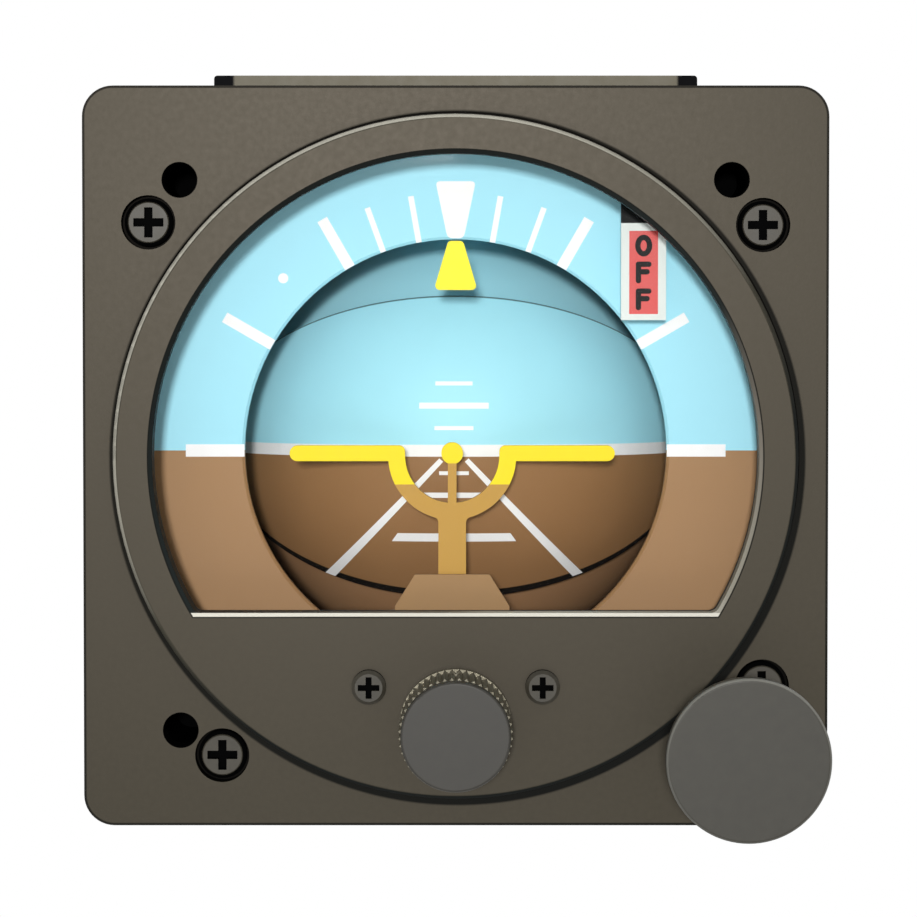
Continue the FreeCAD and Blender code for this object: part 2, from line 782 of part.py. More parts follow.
def spherical_band(outer, inner, half_width, low, high):
    """Slice of a hollow sphere about the ball's axis, between two angles above the horizon line."""
    centre = V(0, ball_axis_y, 0)
    edges = []
    for radius in (outer, inner):
        side = ball_axis_y - math.sqrt(radius ** 2 - half_width ** 2)
        edges.append(Part.Arc(V(-half_width, side, 0), V(0, ball_axis_y - radius, 0), V(half_width, side, 0)).toShape())
    for x in (-half_width, half_width):
        sides = [ball_axis_y - math.sqrt(radius ** 2 - half_width ** 2) for radius in (outer, inner)]
        edges.append(Part.makeLine(V(x, sides[0], 0), V(x, sides[1], 0)))
    face = Part.Face(Part.Wire(Part.__sortEdges__(edges)))
    face.rotate(centre, V(-1, 0, 0), low)
    return face.revolve(centre, V(-1, 0, 0), high - low)


def shield(side):
    """Curved mask behind the ball, with its strap; side is +1 above and -1 below."""
    outer = ball_radius - ball_wall - shield_gap
    shell = spherical_band(outer, outer - shield_wall, shield_half_width, shield_low_angle, shield_high_angle)
    front = math.radians(shield_high_angle - 4.0)
    back = math.radians(shield_high_angle - 1.5)
    middle = outer - shield_wall / 2
    top = arm_inner + 2 * strap_wall
    web = side_plate([(ball_axis_y - middle * math.cos(front), middle * math.sin(front)),
                      (ball_axis_y - middle * math.cos(back), middle * math.sin(back)),
                      (ball_axis_y - top / math.tan(back), top),
                      (ball_axis_y - top / math.tan(front), top)], -strap_half_width, strap_half_width)
    strap_end = ball_axis_y - top / math.tan(front) + strap_wall / 2
    strap = block(-strap_half_width, strap_half_width, ring_back, strap_end, top - strap_wall, top)
    shape = fuse([shell, web, strap])
    return shape if side > 0 else shape.mirror(V(0, 0, 0), V(0, 0, 1))


def roll_weights():
    """Two balance weights on the frame's back plate."""
    z = 1.4 * arm_half_height
    return Part.makeCompound([rod_y(3.0, frame_back - 3, frame_back, 0, z), rod_y(3.0, frame_back - 3, frame_back, 0, -z)])


# ---------------------------------------------------------------- pitch ball
def front_wedge(half_angle, x0, x1):
    """Wedge about the ball's axis that opens towards the window."""
    angle = math.radians(half_angle)
    far = 2 * ball_radius
    return side_plate([(ball_axis_y, 0), (ball_axis_y - far * math.cos(angle), far * math.sin(angle)),
                       (ball_axis_y - far * math.cos(angle), -far * math.sin(angle))], x0, x1)


def pitch_ball():
    """Slice of a sphere on two cheeks that turn about the lateral axis."""
    shell = spherical_band(ball_radius, ball_radius - ball_wall, ball_half_width, -ball_half_angle, ball_half_angle)
    inner = ball_half_width - ball_cheek
    rim = math.sqrt(ball_radius ** 2 - ball_half_width ** 2)
    cheek = front_wedge(ball_half_angle, inner, ball_half_width).common(
        rod_x(rim, inner, ball_half_width, ball_axis_y))
    cheek = cheek.fuse(rod_x(ball_hub_radius, inner, ball_half_width, ball_axis_y))
    cheek = cheek.cut(rod_x(ball_pin_radius(), inner - 1, ball_half_width + 1, ball_axis_y))
    return fuse([shell, cheek, mirror_x(cheek)])


def ball_gear():
    gear = sector_gear(ball_axis_y, 1, False)
    boss = rod_x(ball_hub_radius * 0.8, ball_half_width, gear_inner, ball_axis_y)
    return gear.fuse(boss).cut(rod_x(ball_pin_radius(), 0, 50, ball_axis_y))


def ball_pins():
    """Pivot pins, headed inside the cheeks."""
    inner = ball_half_width - ball_cheek
    pin = rod_x(ball_pin_radius(), inner, arm_outer - 0.4, ball_axis_y)
    head = rod_x(ball_pin_radius() + 1, inner - 1, inner, ball_axis_y)
    pin = pin.fuse(head)
    return Part.makeCompound([pin, mirror_x(pin)])


# ---------------------------------------------------------------- gyro
def gyro_housing():
    """Inner gimbal: round rotor case with side bosses."""
    body = rod_z(housing_radius, -housing_half_height, housing_half_height, 0, gyro_axis_y)
    boss = rod_x(trunnion_boss_radius, housing_radius * 0.9, trunnion_boss_end, gyro_axis_y)
    body = fuse([body, boss, mirror_x(boss)])
    cap = housing_half_height - housing_wall
    hollow = rod_z(housing_radius - housing_wall, -cap, housing_half_height + 1, 0, gyro_axis_y)
    sump = rod_z(spin_bearing_radius, -housing_half_height - 1, -cap + 1, 0, gyro_axis_y)
    trunnions = rod_x(trunnion_radius, -trunnion_boss_end - 1, trunnion_boss_end + 1, gyro_axis_y)
    return cut_all(body, [hollow, sump, trunnions])


def gyro_cover():
    """Upper cap of the rotor case."""
    lid = rod_z(housing_radius - housing_wall, housing_half_height - housing_wall, housing_half_height, 0, gyro_axis_y)
    boss = rod_z(spin_bearing_radius + 1.5, spin_bearing_z(), housing_half_height, 0, gyro_axis_y)
    lid = lid.fuse(boss)
    return lid.cut(rod_z(spin_bearing_radius, 0, spin_bearing_z() + spin_bearing_width, 0, gyro_axis_y))


def spin_bearing_z():
    """Lower face of the upper spin bearing."""
    return housing_half_height - housing_wall - spin_bearing_width + 0.6


def gyro_trunnions():
    pin = rod_x(trunnion_radius, housing_radius * 0.95, arm_outer - 0.3, gyro_axis_y)
    return Part.makeCompound([pin, mirror_x(pin)])


def gyro_gear():
    gear = sector_gear(gyro_axis_y, -1, True)
    boss = rod_x(ball_hub_radius * 0.8, trunnion_boss_end, gear_inner, gyro_axis_y)
    return gear.fuse(boss).cut(rod_x(trunnion_radius, 0, 50, gyro_axis_y))


def pitch_bearings():
    """Bearings of the gyro's trunnions, one in each arm."""
    ring = rod_x(pitch_bearing_radius, arm_inner, arm_outer - 0.3, gyro_axis_y)
    ring = ring.cut(rod_x(trunnion_radius + running_gap, 0, 50, gyro_axis_y))
    return Part.makeCompound([ring, mirror_x(ring)])


def rotor():
    """Heavy-rimmed wheel."""
    body = rod_z(rotor_radius, -rotor_half_height, rotor_half_height, 0, gyro_axis_y)
    tools = []
    for side in (-1, 1):
        z0 = side * rotor_web / 2
        z1 = side * (rotor_half_height + 1)
        tools.append(rod_z(rotor_radius - rotor_rim, min(z0, z1), max(z0, z1), 0, gyro_axis_y).cut(
            rod_z(spindle_radius + 2.5, min(z0, z1), max(z0, z1), 0, gyro_axis_y)))
    tools.append(rod_z(spindle_radius, -50, 50, 0, gyro_axis_y))
    return cut_all(body, tools)


def rotor_spindle():
    return rod_z(spindle_radius, -spindle_half_length, spindle_half_length, 0, gyro_axis_y)


def spin_bearings():
    """Spin bearings at the two ends of the spindle."""
    ring = rod_z(spin_bearing_radius, 0, spin_bearing_width, 0, gyro_axis_y).cut(
        rod_z(spindle_radius + running_gap, -1, 50, 0, gyro_axis_y))
    upper = ring.copy()
    upper.translate(V(0, 0, spin_bearing_z()))
    lower = ring.copy()
    lower.translate(V(0, 0, -housing_half_height + 0.3))
    return Part.makeCompound([upper, lower])


# ---------------------------------------------------------------- miniature airplane
def airplane_symbol():
    """Wings, cradle, dot, post and stem, cut from one plate."""
    half = wing_width / 2
    y0 = airplane_front
    y1 = airplane_back
    low = -cradle_inner - cradle_drop
    wing = block(cradle_inner, airplane_half_span - half, y0, y1, -half, half)
    wing = wing.fuse(rod_y(half, y0, y1, airplane_half_span - half, 0))
    inner_top = [edge for edge in edges_along_y(wing) if edge.CenterOfMass.x < cradle_inner + 0.01
                 and edge.CenterOfMass.z > 0]
    wing = wing.makeFillet(half * 0.8, inner_top)
    cradle = ring_y(cradle_outer, cradle_inner, y0, y1, 0, -cradle_drop)
    cradle = cradle.cut(block(-2 * cradle_outer, 2 * cradle_outer, y0 - 1, y1 + 1, 0, 2 * cradle_outer))
    dot = rod_y(airplane_dot_radius, y0, y1)
    post = block(-post_width / 2, post_width / 2, y0, y1, low - half / 2, 0)
    stem = block(-stem_width / 2, stem_width / 2, y0, y1, -carrier_top - carrier_lap, low - half / 2)
    shape = fuse([wing, mirror_x(wing), cradle, dot, post, stem]).removeSplitter()
    joints = [edge for edge in edges_along_y(shape) if abs(abs(edge.CenterOfMass.x) - stem_width / 2) < 0.01
              and edge.CenterOfMass.z > -cradle_outer - wing_width]
    shape = shape.makeFillet(cradle_fillet, joints)
    shape.translate(V(airplane_side, 0, 0))
    return shape


def airplane_carrier():
    """Fork behind the stem: guide slots and a rack that the pinion drives."""
    y0 = airplane_back
    y1 = carrier_back
    body = block(-carrier_half_width, carrier_half_width, y0, y1, -carrier_bottom, -carrier_top)
    shoulder = carrier_top + carrier_lap
    body = body.cut(block(stem_width, 50, y0 - 1, y1 + 1, -shoulder, 0))
    body = body.cut(block(-50, -stem_width, y0 - 1, y1 + 1, -shoulder, 0))
    pitch_x = pinion_pitch_radius + rack_backlash
    tip = pinion_pitch_radius + pinion_module + swing_gap
    window_top = set_axis_z + tip + airplane_travel
    window = block(-tip, pitch_x + 1.0 * pinion_module, y0 - 1, y1 + 1, -50, window_top)
    body = body.cut(window)
    step = math.pi * pinion_module
    slope = math.tan(math.radians(gear_pressure_angle))
    count = int(airplane_travel / step) + 2
    teeth = []
    for i in range(-count, count + 1):
        z = set_axis_z + i * step
        if z > window_top - step:
            continue
        half = step / 4 - rack_backlash / 2
        out = pinion_addendum * pinion_module
        back = 1.0 * pinion_module + 0.1
        teeth.append(plate([(pitch_x - out, z - half + out * slope), (pitch_x - out, z + half - out * slope),
                            (pitch_x + back, z + half + back * slope), (pitch_x + back, z - half - back * slope)],
                           y0, y1))
    body = fuse([body] + teeth)
    slots = [guide_slot(x, z) for x, z in guide_pin_places()]
    return cut_all(body, slots)


def guide_pin_places():
    """Pins that guide the carrier: low on the left leg and high on the right."""
    x = (carrier_half_width + pinion_pitch_radius + pinion_module) / 2 + 0.4
    return [(-x, set_axis_z - 0.8), (x, set_axis_z + 3.6)]


def guide_slot(x, z):
    radius = guide_pin_radius + running_gap
    reach = airplane_travel + running_gap
    y0 = airplane_back - 1
    y1 = carrier_back + 1
    return fuse([rod_y(radius, y0, y1, x, z - reach), rod_y(radius, y0, y1, x, z + reach),
                 block(x - radius, x + radius, y0, y1, z - reach, z + reach)])


def airplane_rivets():
    """Two rivets that hold the stem to the carrier."""
    rivets = []
    for z in (carrier_top + carrier_lap / 4, carrier_top + carrier_lap * 3 / 4):
        rivets.append(rod_y(0.7, carrier_back, carrier_back + 0.35, 0, -z))
    return Part.makeCompound(rivets)


def slide_bracket():
    """Plate behind the chin that carries the adjuster."""
    body = block(-bracket_half_width, bracket_half_width, chin_back, bracket_back, -bracket_bottom, -bracket_top)
    tools = [rod_y(set_bushing_radius, 0, 50, 0, set_axis_z)]
    for side in (-1, 1):
        tools.append(rod_y(chin_screw_radius + thread_gap, 0, 50, side * chin_screw_x, chin_screw_z))
    for x, z in guide_pin_places():
        tools.append(rod_y(guide_pin_radius, 0, 50, x, z))
    return cut_all(body, tools)


def stem_shield():
    """Mask that hides the stem's foot."""
    shape = plate([(-shield_top_half_width, -shield_top_z), (shield_top_half_width, -shield_top_z),
                   (shield_base_half_width, -window_flat), (shield_base_half_width, -shield_tab_bottom),
                   (-shield_base_half_width, -shield_tab_bottom), (-shield_base_half_width, -window_flat)],
                  bracket_back, bracket_back + shield_plate)
    shape.translate(V(airplane_side, 0, 0))
    return shape


def guide_pins():
    pins = []
    for x, z in guide_pin_places():
        pin = rod_y(guide_pin_radius, chin_back, carrier_back + fit_gap, x, z)
        head = rod_y(guide_pin_head, carrier_back + fit_gap, carrier_back + fit_gap + guide_pin_head_height, x, z)
        pins.append(pin.fuse(head))
    return Part.makeCompound(pins)


def chin_screws():
    screws = [front_screw(side * chin_screw_x, chin_screw_z, -boss_height - chin_screw_head_height,
                          chin_screw_head_radius, chin_screw_head_height, chin_screw_radius, bracket_back)
              for side in (-1, 1)]
    return Part.makeCompound(screws)


def set_bushing():
    """Plain bushing of the adjuster's shaft."""
    return ring_y(set_bushing_radius, set_shaft_radius + running_gap, -boss_height, bracket_back, 0, set_axis_z)


def set_shaft():
    """Adjuster shaft with its pinion."""
    shaft = rod_y(set_shaft_radius, -set_knob_front + 2, airplane_back, 0, set_axis_z)
    numbers = list(range(pinion_teeth))
    half_tooth = math.pi / pinion_teeth
    outline = gear_points(pinion_module, pinion_teeth, numbers, pinion_addendum, rack_backlash, half_tooth)
    corners = [(r * math.cos(a), set_axis_z + r * math.sin(a)) for a, r in outline]
    pinion = plate(corners, airplane_back, carrier_back)
    return shaft.fuse(pinion)


def set_knob():
    """Knurled knob with a plain face."""
    face_back = set_knob_face_length - set_knob_front
    knob = rod_y(set_knob_radius, face_back, -set_knob_back, 0, set_axis_z)
    face = rod_y(set_knob_face_radius, -set_knob_front, face_back, 0, set_axis_z)
    front = [edge for edge in face.Edges if abs(edge.CenterOfMass.y + set_knob_front) < 0.001]
    face = face.makeFillet(set_knob_face_length * 0.2, front)
    grooves = []
    for x, z in circle_places(knurl_count, set_knob_radius + knurl_depth * 0.3):
        groove = block(-knurl_depth, knurl_depth, face_back - 1, -set_knob_back - 1, -knurl_depth, knurl_depth)
        groove.rotate(V(0, 0, 0), V(0, 1, 0), 45.0 - math.degrees(math.atan2(z, x)))
        groove.translate(V(x, 0, z + set_axis_z))
        grooves.append(groove)
    knob = cut_all(knob, grooves).fuse(face)
    screw_bore = rod_z(0.9, set_axis_z, set_axis_z + 20, 0, set_screw_y())
    return cut_all(knob, [rod_y(set_shaft_radius, -set_knob_front + 2, 0, 0, set_axis_z), screw_bore])


def set_screw_y():
    return -(set_knob_front + set_knob_back) / 2 + 1.5


def set_knob_screw():
    """Grub screw of the adjuster's knob."""
    end = set_axis_z + set_knob_radius - 1.0
    screw = rod_z(0.9, set_axis_z + set_shaft_radius, end, 0, set_screw_y())
    return screw.cut(rod_z(0.4, end - 0.8, end + 1, 0, set_screw_y()))


# ---------------------------------------------------------------- caging control
def cage_knob():
    """Broad pull knob with a neck."""
    back = cage_knob_thickness - cage_knob_front
    rim = cage_knob_rim - cage_knob_front
    head = rod_y(cage_knob_radius, -cage_knob_front, rim, cage_x, cage_z)
    rims = [edge for edge in head.Edges if edge.Length > cage_knob_radius and len(edge.Vertexes) == 1]
    head = head.makeFillet(cage_knob_rim / 5, rims)
    inner = cage_knob_radius - cage_knob_rim / 4
    head = head.fuse(Part.makeCone(inner, cage_neck_radius, back - rim, V(cage_x, rim, cage_z), V(0, 1, 0)))
    neck = rod_y(cage_neck_radius, back - 0.5, -cage_bushing_front - 0.4, cage_x, cage_z)
    bore = rod_y(cage_rod_radius, -cage_knob_front + 3, 0, cage_x, cage_z)
    return fuse([head, neck]).cut(bore)


def cage_rod():
    """Pull rod with a spring collar."""
    rod = rod_y(cage_rod_radius, -cage_knob_front + 3, cage_tube_length + 1.5, cage_x, cage_z)
    collar = rod_y(cage_tube_bore - 0.3, cage_collar_y, cage_collar_y + cage_collar_thickness, cage_x, cage_z)
    return rod.fuse(collar)


def cage_bushing():
    """Pressed bushing that guides the rod."""
    end = cage_bushing_length - cage_bushing_front
    return ring_y(cage_bushing_radius, cage_rod_radius + running_gap, -cage_bushing_front, end, cage_x, cage_z)


def cage_spring():
    """Return spring between the bushing and the rod's collar."""
    start = cage_bushing_length - cage_bushing_front + cage_spring_wire / 2 + 0.05
    end = cage_collar_y - cage_spring_wire / 2 - 0.05
    radius = cage_rod_radius + 0.25 + cage_spring_wire / 2
    helix = Part.makeHelix((end - start) / cage_spring_turns, end - start, radius)
    ring = Part.Wire(Part.makeCircle(cage_spring_wire / 2, V(radius, 0, 0), V(0, 1, 0)))
    coil = Part.Wire(helix.Edges).makePipeShell([ring], True, True)
    coil.rotate(V(0, 0, 0), V(1, 0, 0), -90)
    coil.translate(V(cage_x, start, cage_z))
    return coil


def inward(near, far, y0, y1, width):
    """A bar that points from the caging rod to the roll axis, between two radii."""
    bar = block(near, far, y0, y1, -width / 2, width / 2)
    return turn(bar, math.degrees(math.atan2(-cage_z, cage_x)), V(0, 1, 0), V(0, 0, 0))


def cage_finger():
    """Dog on the rod that reaches through the case towards the roll frame."""
    reach = math.hypot(cage_x, cage_z)
    bar = inward(dial_radius + swing_gap, reach, cage_finger_y, cage_finger_y + cage_finger_size, cage_finger_size)
    collar = rod_y(cage_tube_bore - 0.3, cage_finger_y, cage_finger_y + cage_finger_size, cage_x, cage_z)
    return bar.fuse(collar).cut(rod_y(cage_rod_radius, 0, 100, cage_x, cage_z))


def cage_slot():
    """Slot in the case that the dog travels in."""
    reach = math.hypot(cage_x, cage_z)
    return inward(case_bore - 3, reach, cage_finger_y - cage_travel - fit_gap,
                  cage_finger_y + cage_finger_size + fit_gap, cage_finger_size + 4 * fit_gap)


# ---------------------------------------------------------------- warning flag
def off_flag():
    """Flag plate with the arm that leads to its pivot, behind the bezel."""
    y0 = flag_front
    y1 = flag_front + flag_thickness
    top = flag_bottom + flag_height
    right = flag_left + flag_width
    panel = block(flag_left, right, y0, y1, flag_bottom, top)
    neck_z = math.sqrt((case_bore - swing_gap) ** 2 - flag_left ** 2)
    neck = plate([(flag_left, top), (right, top), (flag_left + flag_arm_width, neck_z), (flag_left, neck_z)], y0, y1)
    dx = flag_left + flag_arm_width / 2 - flag_pivot_x
    dz = neck_z - flag_arm_width / 2 - flag_pivot_z
    length = math.hypot(dx, dz)
    ux = -dz / length * flag_arm_width / 2
    uz = dx / length * flag_arm_width / 2
    arm = plate([(flag_pivot_x + ux, flag_pivot_z + uz), (flag_pivot_x - ux, flag_pivot_z - uz),
                 (flag_pivot_x + dx - ux, flag_pivot_z + dz - uz),
                 (flag_pivot_x + dx + ux, flag_pivot_z + dz + uz)], y0, y1)
    hub = rod_y(flag_arm_width / 2 + 0.3, y0, y1, flag_pivot_x, flag_pivot_z)
    return fuse([panel, neck, arm, hub]).cut(rod_y(flag_pin_radius + running_gap, 0, 50, flag_pivot_x, flag_pivot_z))


def flag_pivot():
    """Headed pin behind the glass retainer."""
    back = flag_front + flag_thickness + fit_gap
    pin = rod_y(flag_pin_radius, retainer_back, back, flag_pivot_x, flag_pivot_z)
    foot = rod_y(flag_pin_radius + 0.35, retainer_back, flag_front - fit_gap, flag_pivot_x, flag_pivot_z)
    head = rod_y(flag_pin_radius + 0.35, back, back + 0.5, flag_pivot_x, flag_pivot_z)
    return fuse([pin, foot, head])


def flag_pocket_place():
    """Radius and the two end angles of the pocket, from the corners of the swung flag."""
    swing = math.radians(flag_swing)
    right = flag_left + flag_width - flag_pivot_x
    corners = []
    for z in (flag_bottom - flag_pivot_z, flag_bottom + flag_height - flag_pivot_z):
        x_swung = flag_pivot_x + right * math.cos(swing) - z * math.sin(swing)
        z_swung = flag_pivot_z + right * math.sin(swing) + z * math.cos(swing)
        corners.append((math.hypot(x_swung, z_swung), math.atan2(z_swung, x_swung)))
    low = corners[0][1] - 0.25
    high = math.atan2(flag_pivot_z, flag_pivot_x)
    return max(corners)[0] + swing_gap, low, high


def flag_pocket(y0, y1):
    """Room beside the window into which the flag swings."""
    radius, low, high = flag_pocket_place()
    sector = [(0, 0)]
    for step in range(4):
        angle = low + step * (high - low) / 3
        sector.append((2 * radius * math.cos(angle), 2 * radius * math.sin(angle)))
    ring = ring_y(radius, case_bore - 1, y0, y1)
    return ring.common(plate(sector, y0, y1))


def coil_z():
    return case_bore + coil_radius + 0.3


def coil_bore():
    return rod_y(coil_radius + fit_gap, 0, case_flange_back + 1, coil_x, coil_z())


def flag_coil():
    """Small coil that draws the flag away while there is power."""
    body = rod_y(coil_radius, flange_thickness, case_flange_back, coil_x, coil_z())
    return body.cut(ring_y(coil_radius + 1, coil_radius - 0.4, flange_thickness + 0.5, case_flange_back - 0.5,
                           coil_x, coil_z()))


# ---------------------------------------------------------------- write every sub-part
SUBPARTS = {
    "bezel": bezel,
    "window_glass": window_glass,
    "glass_retainer": glass_retainer,
    "bank_index": bank_index,
    "bezel_screws": bezel_screws,
    "case_body": case_body,
    "rear_cover": rear_cover,
    "rear_cover_screws": rear_cover_screws,
    "top_cover": top_cover,
    "top_cover_screws": top_cover_screws,
    "inverter_board": inverter_board,
    "connector_shell": connector_shell,
    "connector_insert": connector_insert,
    "connector_pins": connector_pins,
    "connector_screws": connector_screws,
    "bank_dial": bank_dial,
    "roll_frame": roll_frame,
    "roll_shaft": roll_shaft,
    "roll_bearing_front": lambda: ball_bearing_y(bearing_front_y),
    "roll_bearing_rear": lambda: ball_bearing_y(bearing_rear_y),
    "slip_rings": slip_rings,
    "brush_block": brush_block,
    "brushes": brushes,
    "sky_shield": lambda: shield(1),
    "ground_shield": lambda: shield(-1),
    "roll_weights": roll_weights,
    "pitch_bearings": pitch_bearings,
    "pitch_ball": pitch_ball,
    "ball_gear": ball_gear,
    "ball_pins": ball_pins,
    "gyro_housing": gyro_housing,
    "gyro_cover": gyro_cover,
    "gyro_trunnions": gyro_trunnions,
    "gyro_gear": gyro_gear,
    "spin_bearings": spin_bearings,
    "rotor": rotor,
    "rotor_spindle": rotor_spindle,
    "airplane_symbol": airplane_symbol,
    "airplane_carrier": airplane_carrier,
    "airplane_rivets": airplane_rivets,
    "slide_bracket": slide_bracket,
    "stem_shield": stem_shield,
    "guide_pins": guide_pins,
    "chin_screws": chin_screws,
    "set_bushing": set_bushing,
    "set_shaft": set_shaft,
    "set_knob": set_knob,
    "set_knob_screw": set_knob_screw,
    "cage_knob": cage_knob,
    "cage_rod": cage_rod,
    "cage_bushing": cage_bushing,
    "cage_spring": cage_spring,
    "cage_finger": cage_finger,
    "off_flag": off_flag,
    "flag_pivot": flag_pivot,
    "flag_coil": flag_coil,
}

os.makedirs("parts", exist_ok=True)
for name, make in SUBPARTS.items():
    save(name, make())
print(len(SUBPARTS), "sub-parts written")
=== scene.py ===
"""Looks of the panel-mounted attitude indicator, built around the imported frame.

Metres throughout; mm() turns the instrument maker's millimetres into them.
+X is to the right, +Y goes into the panel and +Z is up.
"""
import json
import math

import bmesh
import bpy
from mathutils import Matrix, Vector

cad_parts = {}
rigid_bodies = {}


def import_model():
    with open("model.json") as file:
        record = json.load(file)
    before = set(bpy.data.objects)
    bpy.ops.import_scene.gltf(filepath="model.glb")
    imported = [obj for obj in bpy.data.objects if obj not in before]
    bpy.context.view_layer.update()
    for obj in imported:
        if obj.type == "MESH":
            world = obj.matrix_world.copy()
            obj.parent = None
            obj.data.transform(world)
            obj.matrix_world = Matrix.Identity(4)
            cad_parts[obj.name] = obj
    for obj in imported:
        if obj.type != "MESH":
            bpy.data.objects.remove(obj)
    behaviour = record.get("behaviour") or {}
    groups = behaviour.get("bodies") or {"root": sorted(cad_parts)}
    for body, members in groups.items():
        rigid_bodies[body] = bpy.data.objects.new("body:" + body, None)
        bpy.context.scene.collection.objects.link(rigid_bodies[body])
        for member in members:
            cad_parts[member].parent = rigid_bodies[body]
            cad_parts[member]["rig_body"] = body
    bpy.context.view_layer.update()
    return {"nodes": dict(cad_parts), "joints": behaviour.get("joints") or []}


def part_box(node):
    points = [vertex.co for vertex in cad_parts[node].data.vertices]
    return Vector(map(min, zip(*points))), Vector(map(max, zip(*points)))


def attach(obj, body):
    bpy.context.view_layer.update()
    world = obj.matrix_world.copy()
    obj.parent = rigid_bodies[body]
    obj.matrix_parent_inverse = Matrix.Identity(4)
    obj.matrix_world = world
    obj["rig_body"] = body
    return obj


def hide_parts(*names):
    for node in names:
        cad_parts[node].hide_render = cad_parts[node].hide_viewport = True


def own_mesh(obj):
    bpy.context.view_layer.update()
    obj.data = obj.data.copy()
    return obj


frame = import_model()
nodes = frame["nodes"]
joints = {joint["name"]: joint for joint in frame["joints"]}


def mm(value):
    """Millimetres to metres."""
    return value / 1000.0


# ------------------------------------------------------------------ sizes taken from the frame
bezel_low, bezel_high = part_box("bezel")
ball_low, ball_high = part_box("pitch_ball")
flag_low, flag_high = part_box("off_flag")
knob_low, knob_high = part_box("cage_knob")
plane_low, plane_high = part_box("airplane_symbol")
BALL_AXIS_Y = joints["ball_pitch"]["pos_m"][1]
BALL_RADIUS = BALL_AXIS_Y - ball_low.y
BALL_EDGE = math.asin(ball_high.z / BALL_RADIUS)    # how far the ball reaches from its horizon, in radians
DIAL_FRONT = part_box("bank_dial")[0].y
FLAG_FRONT = flag_low.y
KNOB_FRONT = knob_low.y
KNOB_RADIUS = (knob_high.x - knob_low.x) / 2
KNOB_X = (knob_low.x + knob_high.x) / 2
KNOB_Z = (knob_low.z + knob_high.z) / 2

# ------------------------------------------------------------------ sizes shared by finishes and marks
FAR = 1.0                   # farther than any part of the instrument
PAINT = mm(0.04)            # thickness of a silk-screened mark
BALL_TRIM_X = mm(-0.2)      # the ball's marks stand this far off centre
BALL_TRIM_Z = mm(-0.08)
BALL_SAG = 0.8              # the horizon is bowed down by this times the square of X


# ------------------------------------------------------------------ material helpers
def colour(code):
    """An sRGB hex code as linear RGBA."""
    channels = [int(code[i:i + 2], 16) / 255 for i in (1, 3, 5)]
    linear = [c / 12.92 if c <= 0.04045 else ((c + 0.055) / 1.055) ** 2.4 for c in channels]
    return (*linear, 1.0)


def add_node(tree, kind, settings=None, links=None):
    """Add one node, with its properties, socket values or colour stops, and its incoming links."""
    node = tree.nodes.new(kind)
    for key, value in (settings or {}).items():
        if key == "stops":
            band = node.color_ramp.elements
            while len(band) < len(value):
                band.new(1.0)
            for stop, (position, tone) in zip(band, value):
                stop.position = position
                stop.color = colour(tone)
        elif isinstance(key, str) and hasattr(node, key):
            setattr(node, key, value)
        else:
            node.inputs[key].default_value = value
    for key, output in (links or {}).items():
        tree.links.new(output, node.inputs[key])
    return node


def new_material(name):
    """An empty material with its shader and its Object coordinates."""
    material = bpy.data.materials.new(name)
    material.use_nodes = True
    tree = material.node_tree
    tree.nodes.clear()
    shader = add_node(tree, "ShaderNodeBsdfPrincipled")
    add_node(tree, "ShaderNodeOutputMaterial", links={"Surface": shader.outputs["BSDF"]})
    place = add_node(tree, "ShaderNodeTexCoord")
    return material, tree, shader, place.outputs["Object"]


def pieces_of(material):
    """A material's tree, shader, base colour socket and Object coordinates, to add to it."""
    tree = material.node_tree
    shader = next(node for node in tree.nodes if node.type == "BSDF_PRINCIPLED")
    place = next(node for node in tree.nodes if node.type == "TEX_COORD")
    return tree, shader, shader.inputs["Base Color"].links[0].from_socket, place.outputs["Object"]


def grain_scale(size_mm):
    """Scale of a noise texture on Object coordinates whose grains are this many millimetres."""
    return 1000.0 / size_mm


BUMP_HEIGHT = mm(0.01)      # height of a finish's finest relief


def textured(name, light, dark, grain, rough, metallic=0.0, bump=0.1, bump_grain=0.4, specular=0.5,
             stretch=(1, 1, 1)):
    """A finish whose tone and roughness wander with its grain, over a fine bump."""
    material, tree, shader, place = new_material(name)
    shader.inputs["Metallic"].default_value = metallic
    shader.inputs["Specular IOR Level"].default_value = specular
    mapped = add_node(tree, "ShaderNodeMapping", {"Scale": stretch}, {"Vector": place})
    mottle = add_node(tree, "ShaderNodeTexNoise", {"Scale": grain_scale(grain), "Detail": 4.0},
                      {"Vector": mapped.outputs["Vector"]})
    tone = add_node(tree, "ShaderNodeMix", {"data_type": "RGBA", 6: colour(dark), 7: colour(light)},
                    {0: mottle.outputs["Fac"]})
    wander = add_node(tree, "ShaderNodeMapRange", {"To Min": rough[0], "To Max": rough[1]},
                      {"Value": mottle.outputs["Fac"]})
    fine = add_node(tree, "ShaderNodeTexNoise", {"Scale": grain_scale(bump_grain), "Detail": 2.0},
                    {"Vector": mapped.outputs["Vector"]})
    relief = add_node(tree, "ShaderNodeBump", {"Strength": bump, "Distance": BUMP_HEIGHT},
                      {"Height": fine.outputs["Fac"]})
    tree.links.new(tone.outputs[2], shader.inputs["Base Color"])
    tree.links.new(wander.outputs["Result"], shader.inputs["Roughness"])
    tree.links.new(relief.outputs["Normal"], shader.inputs["Normal"])
    return material


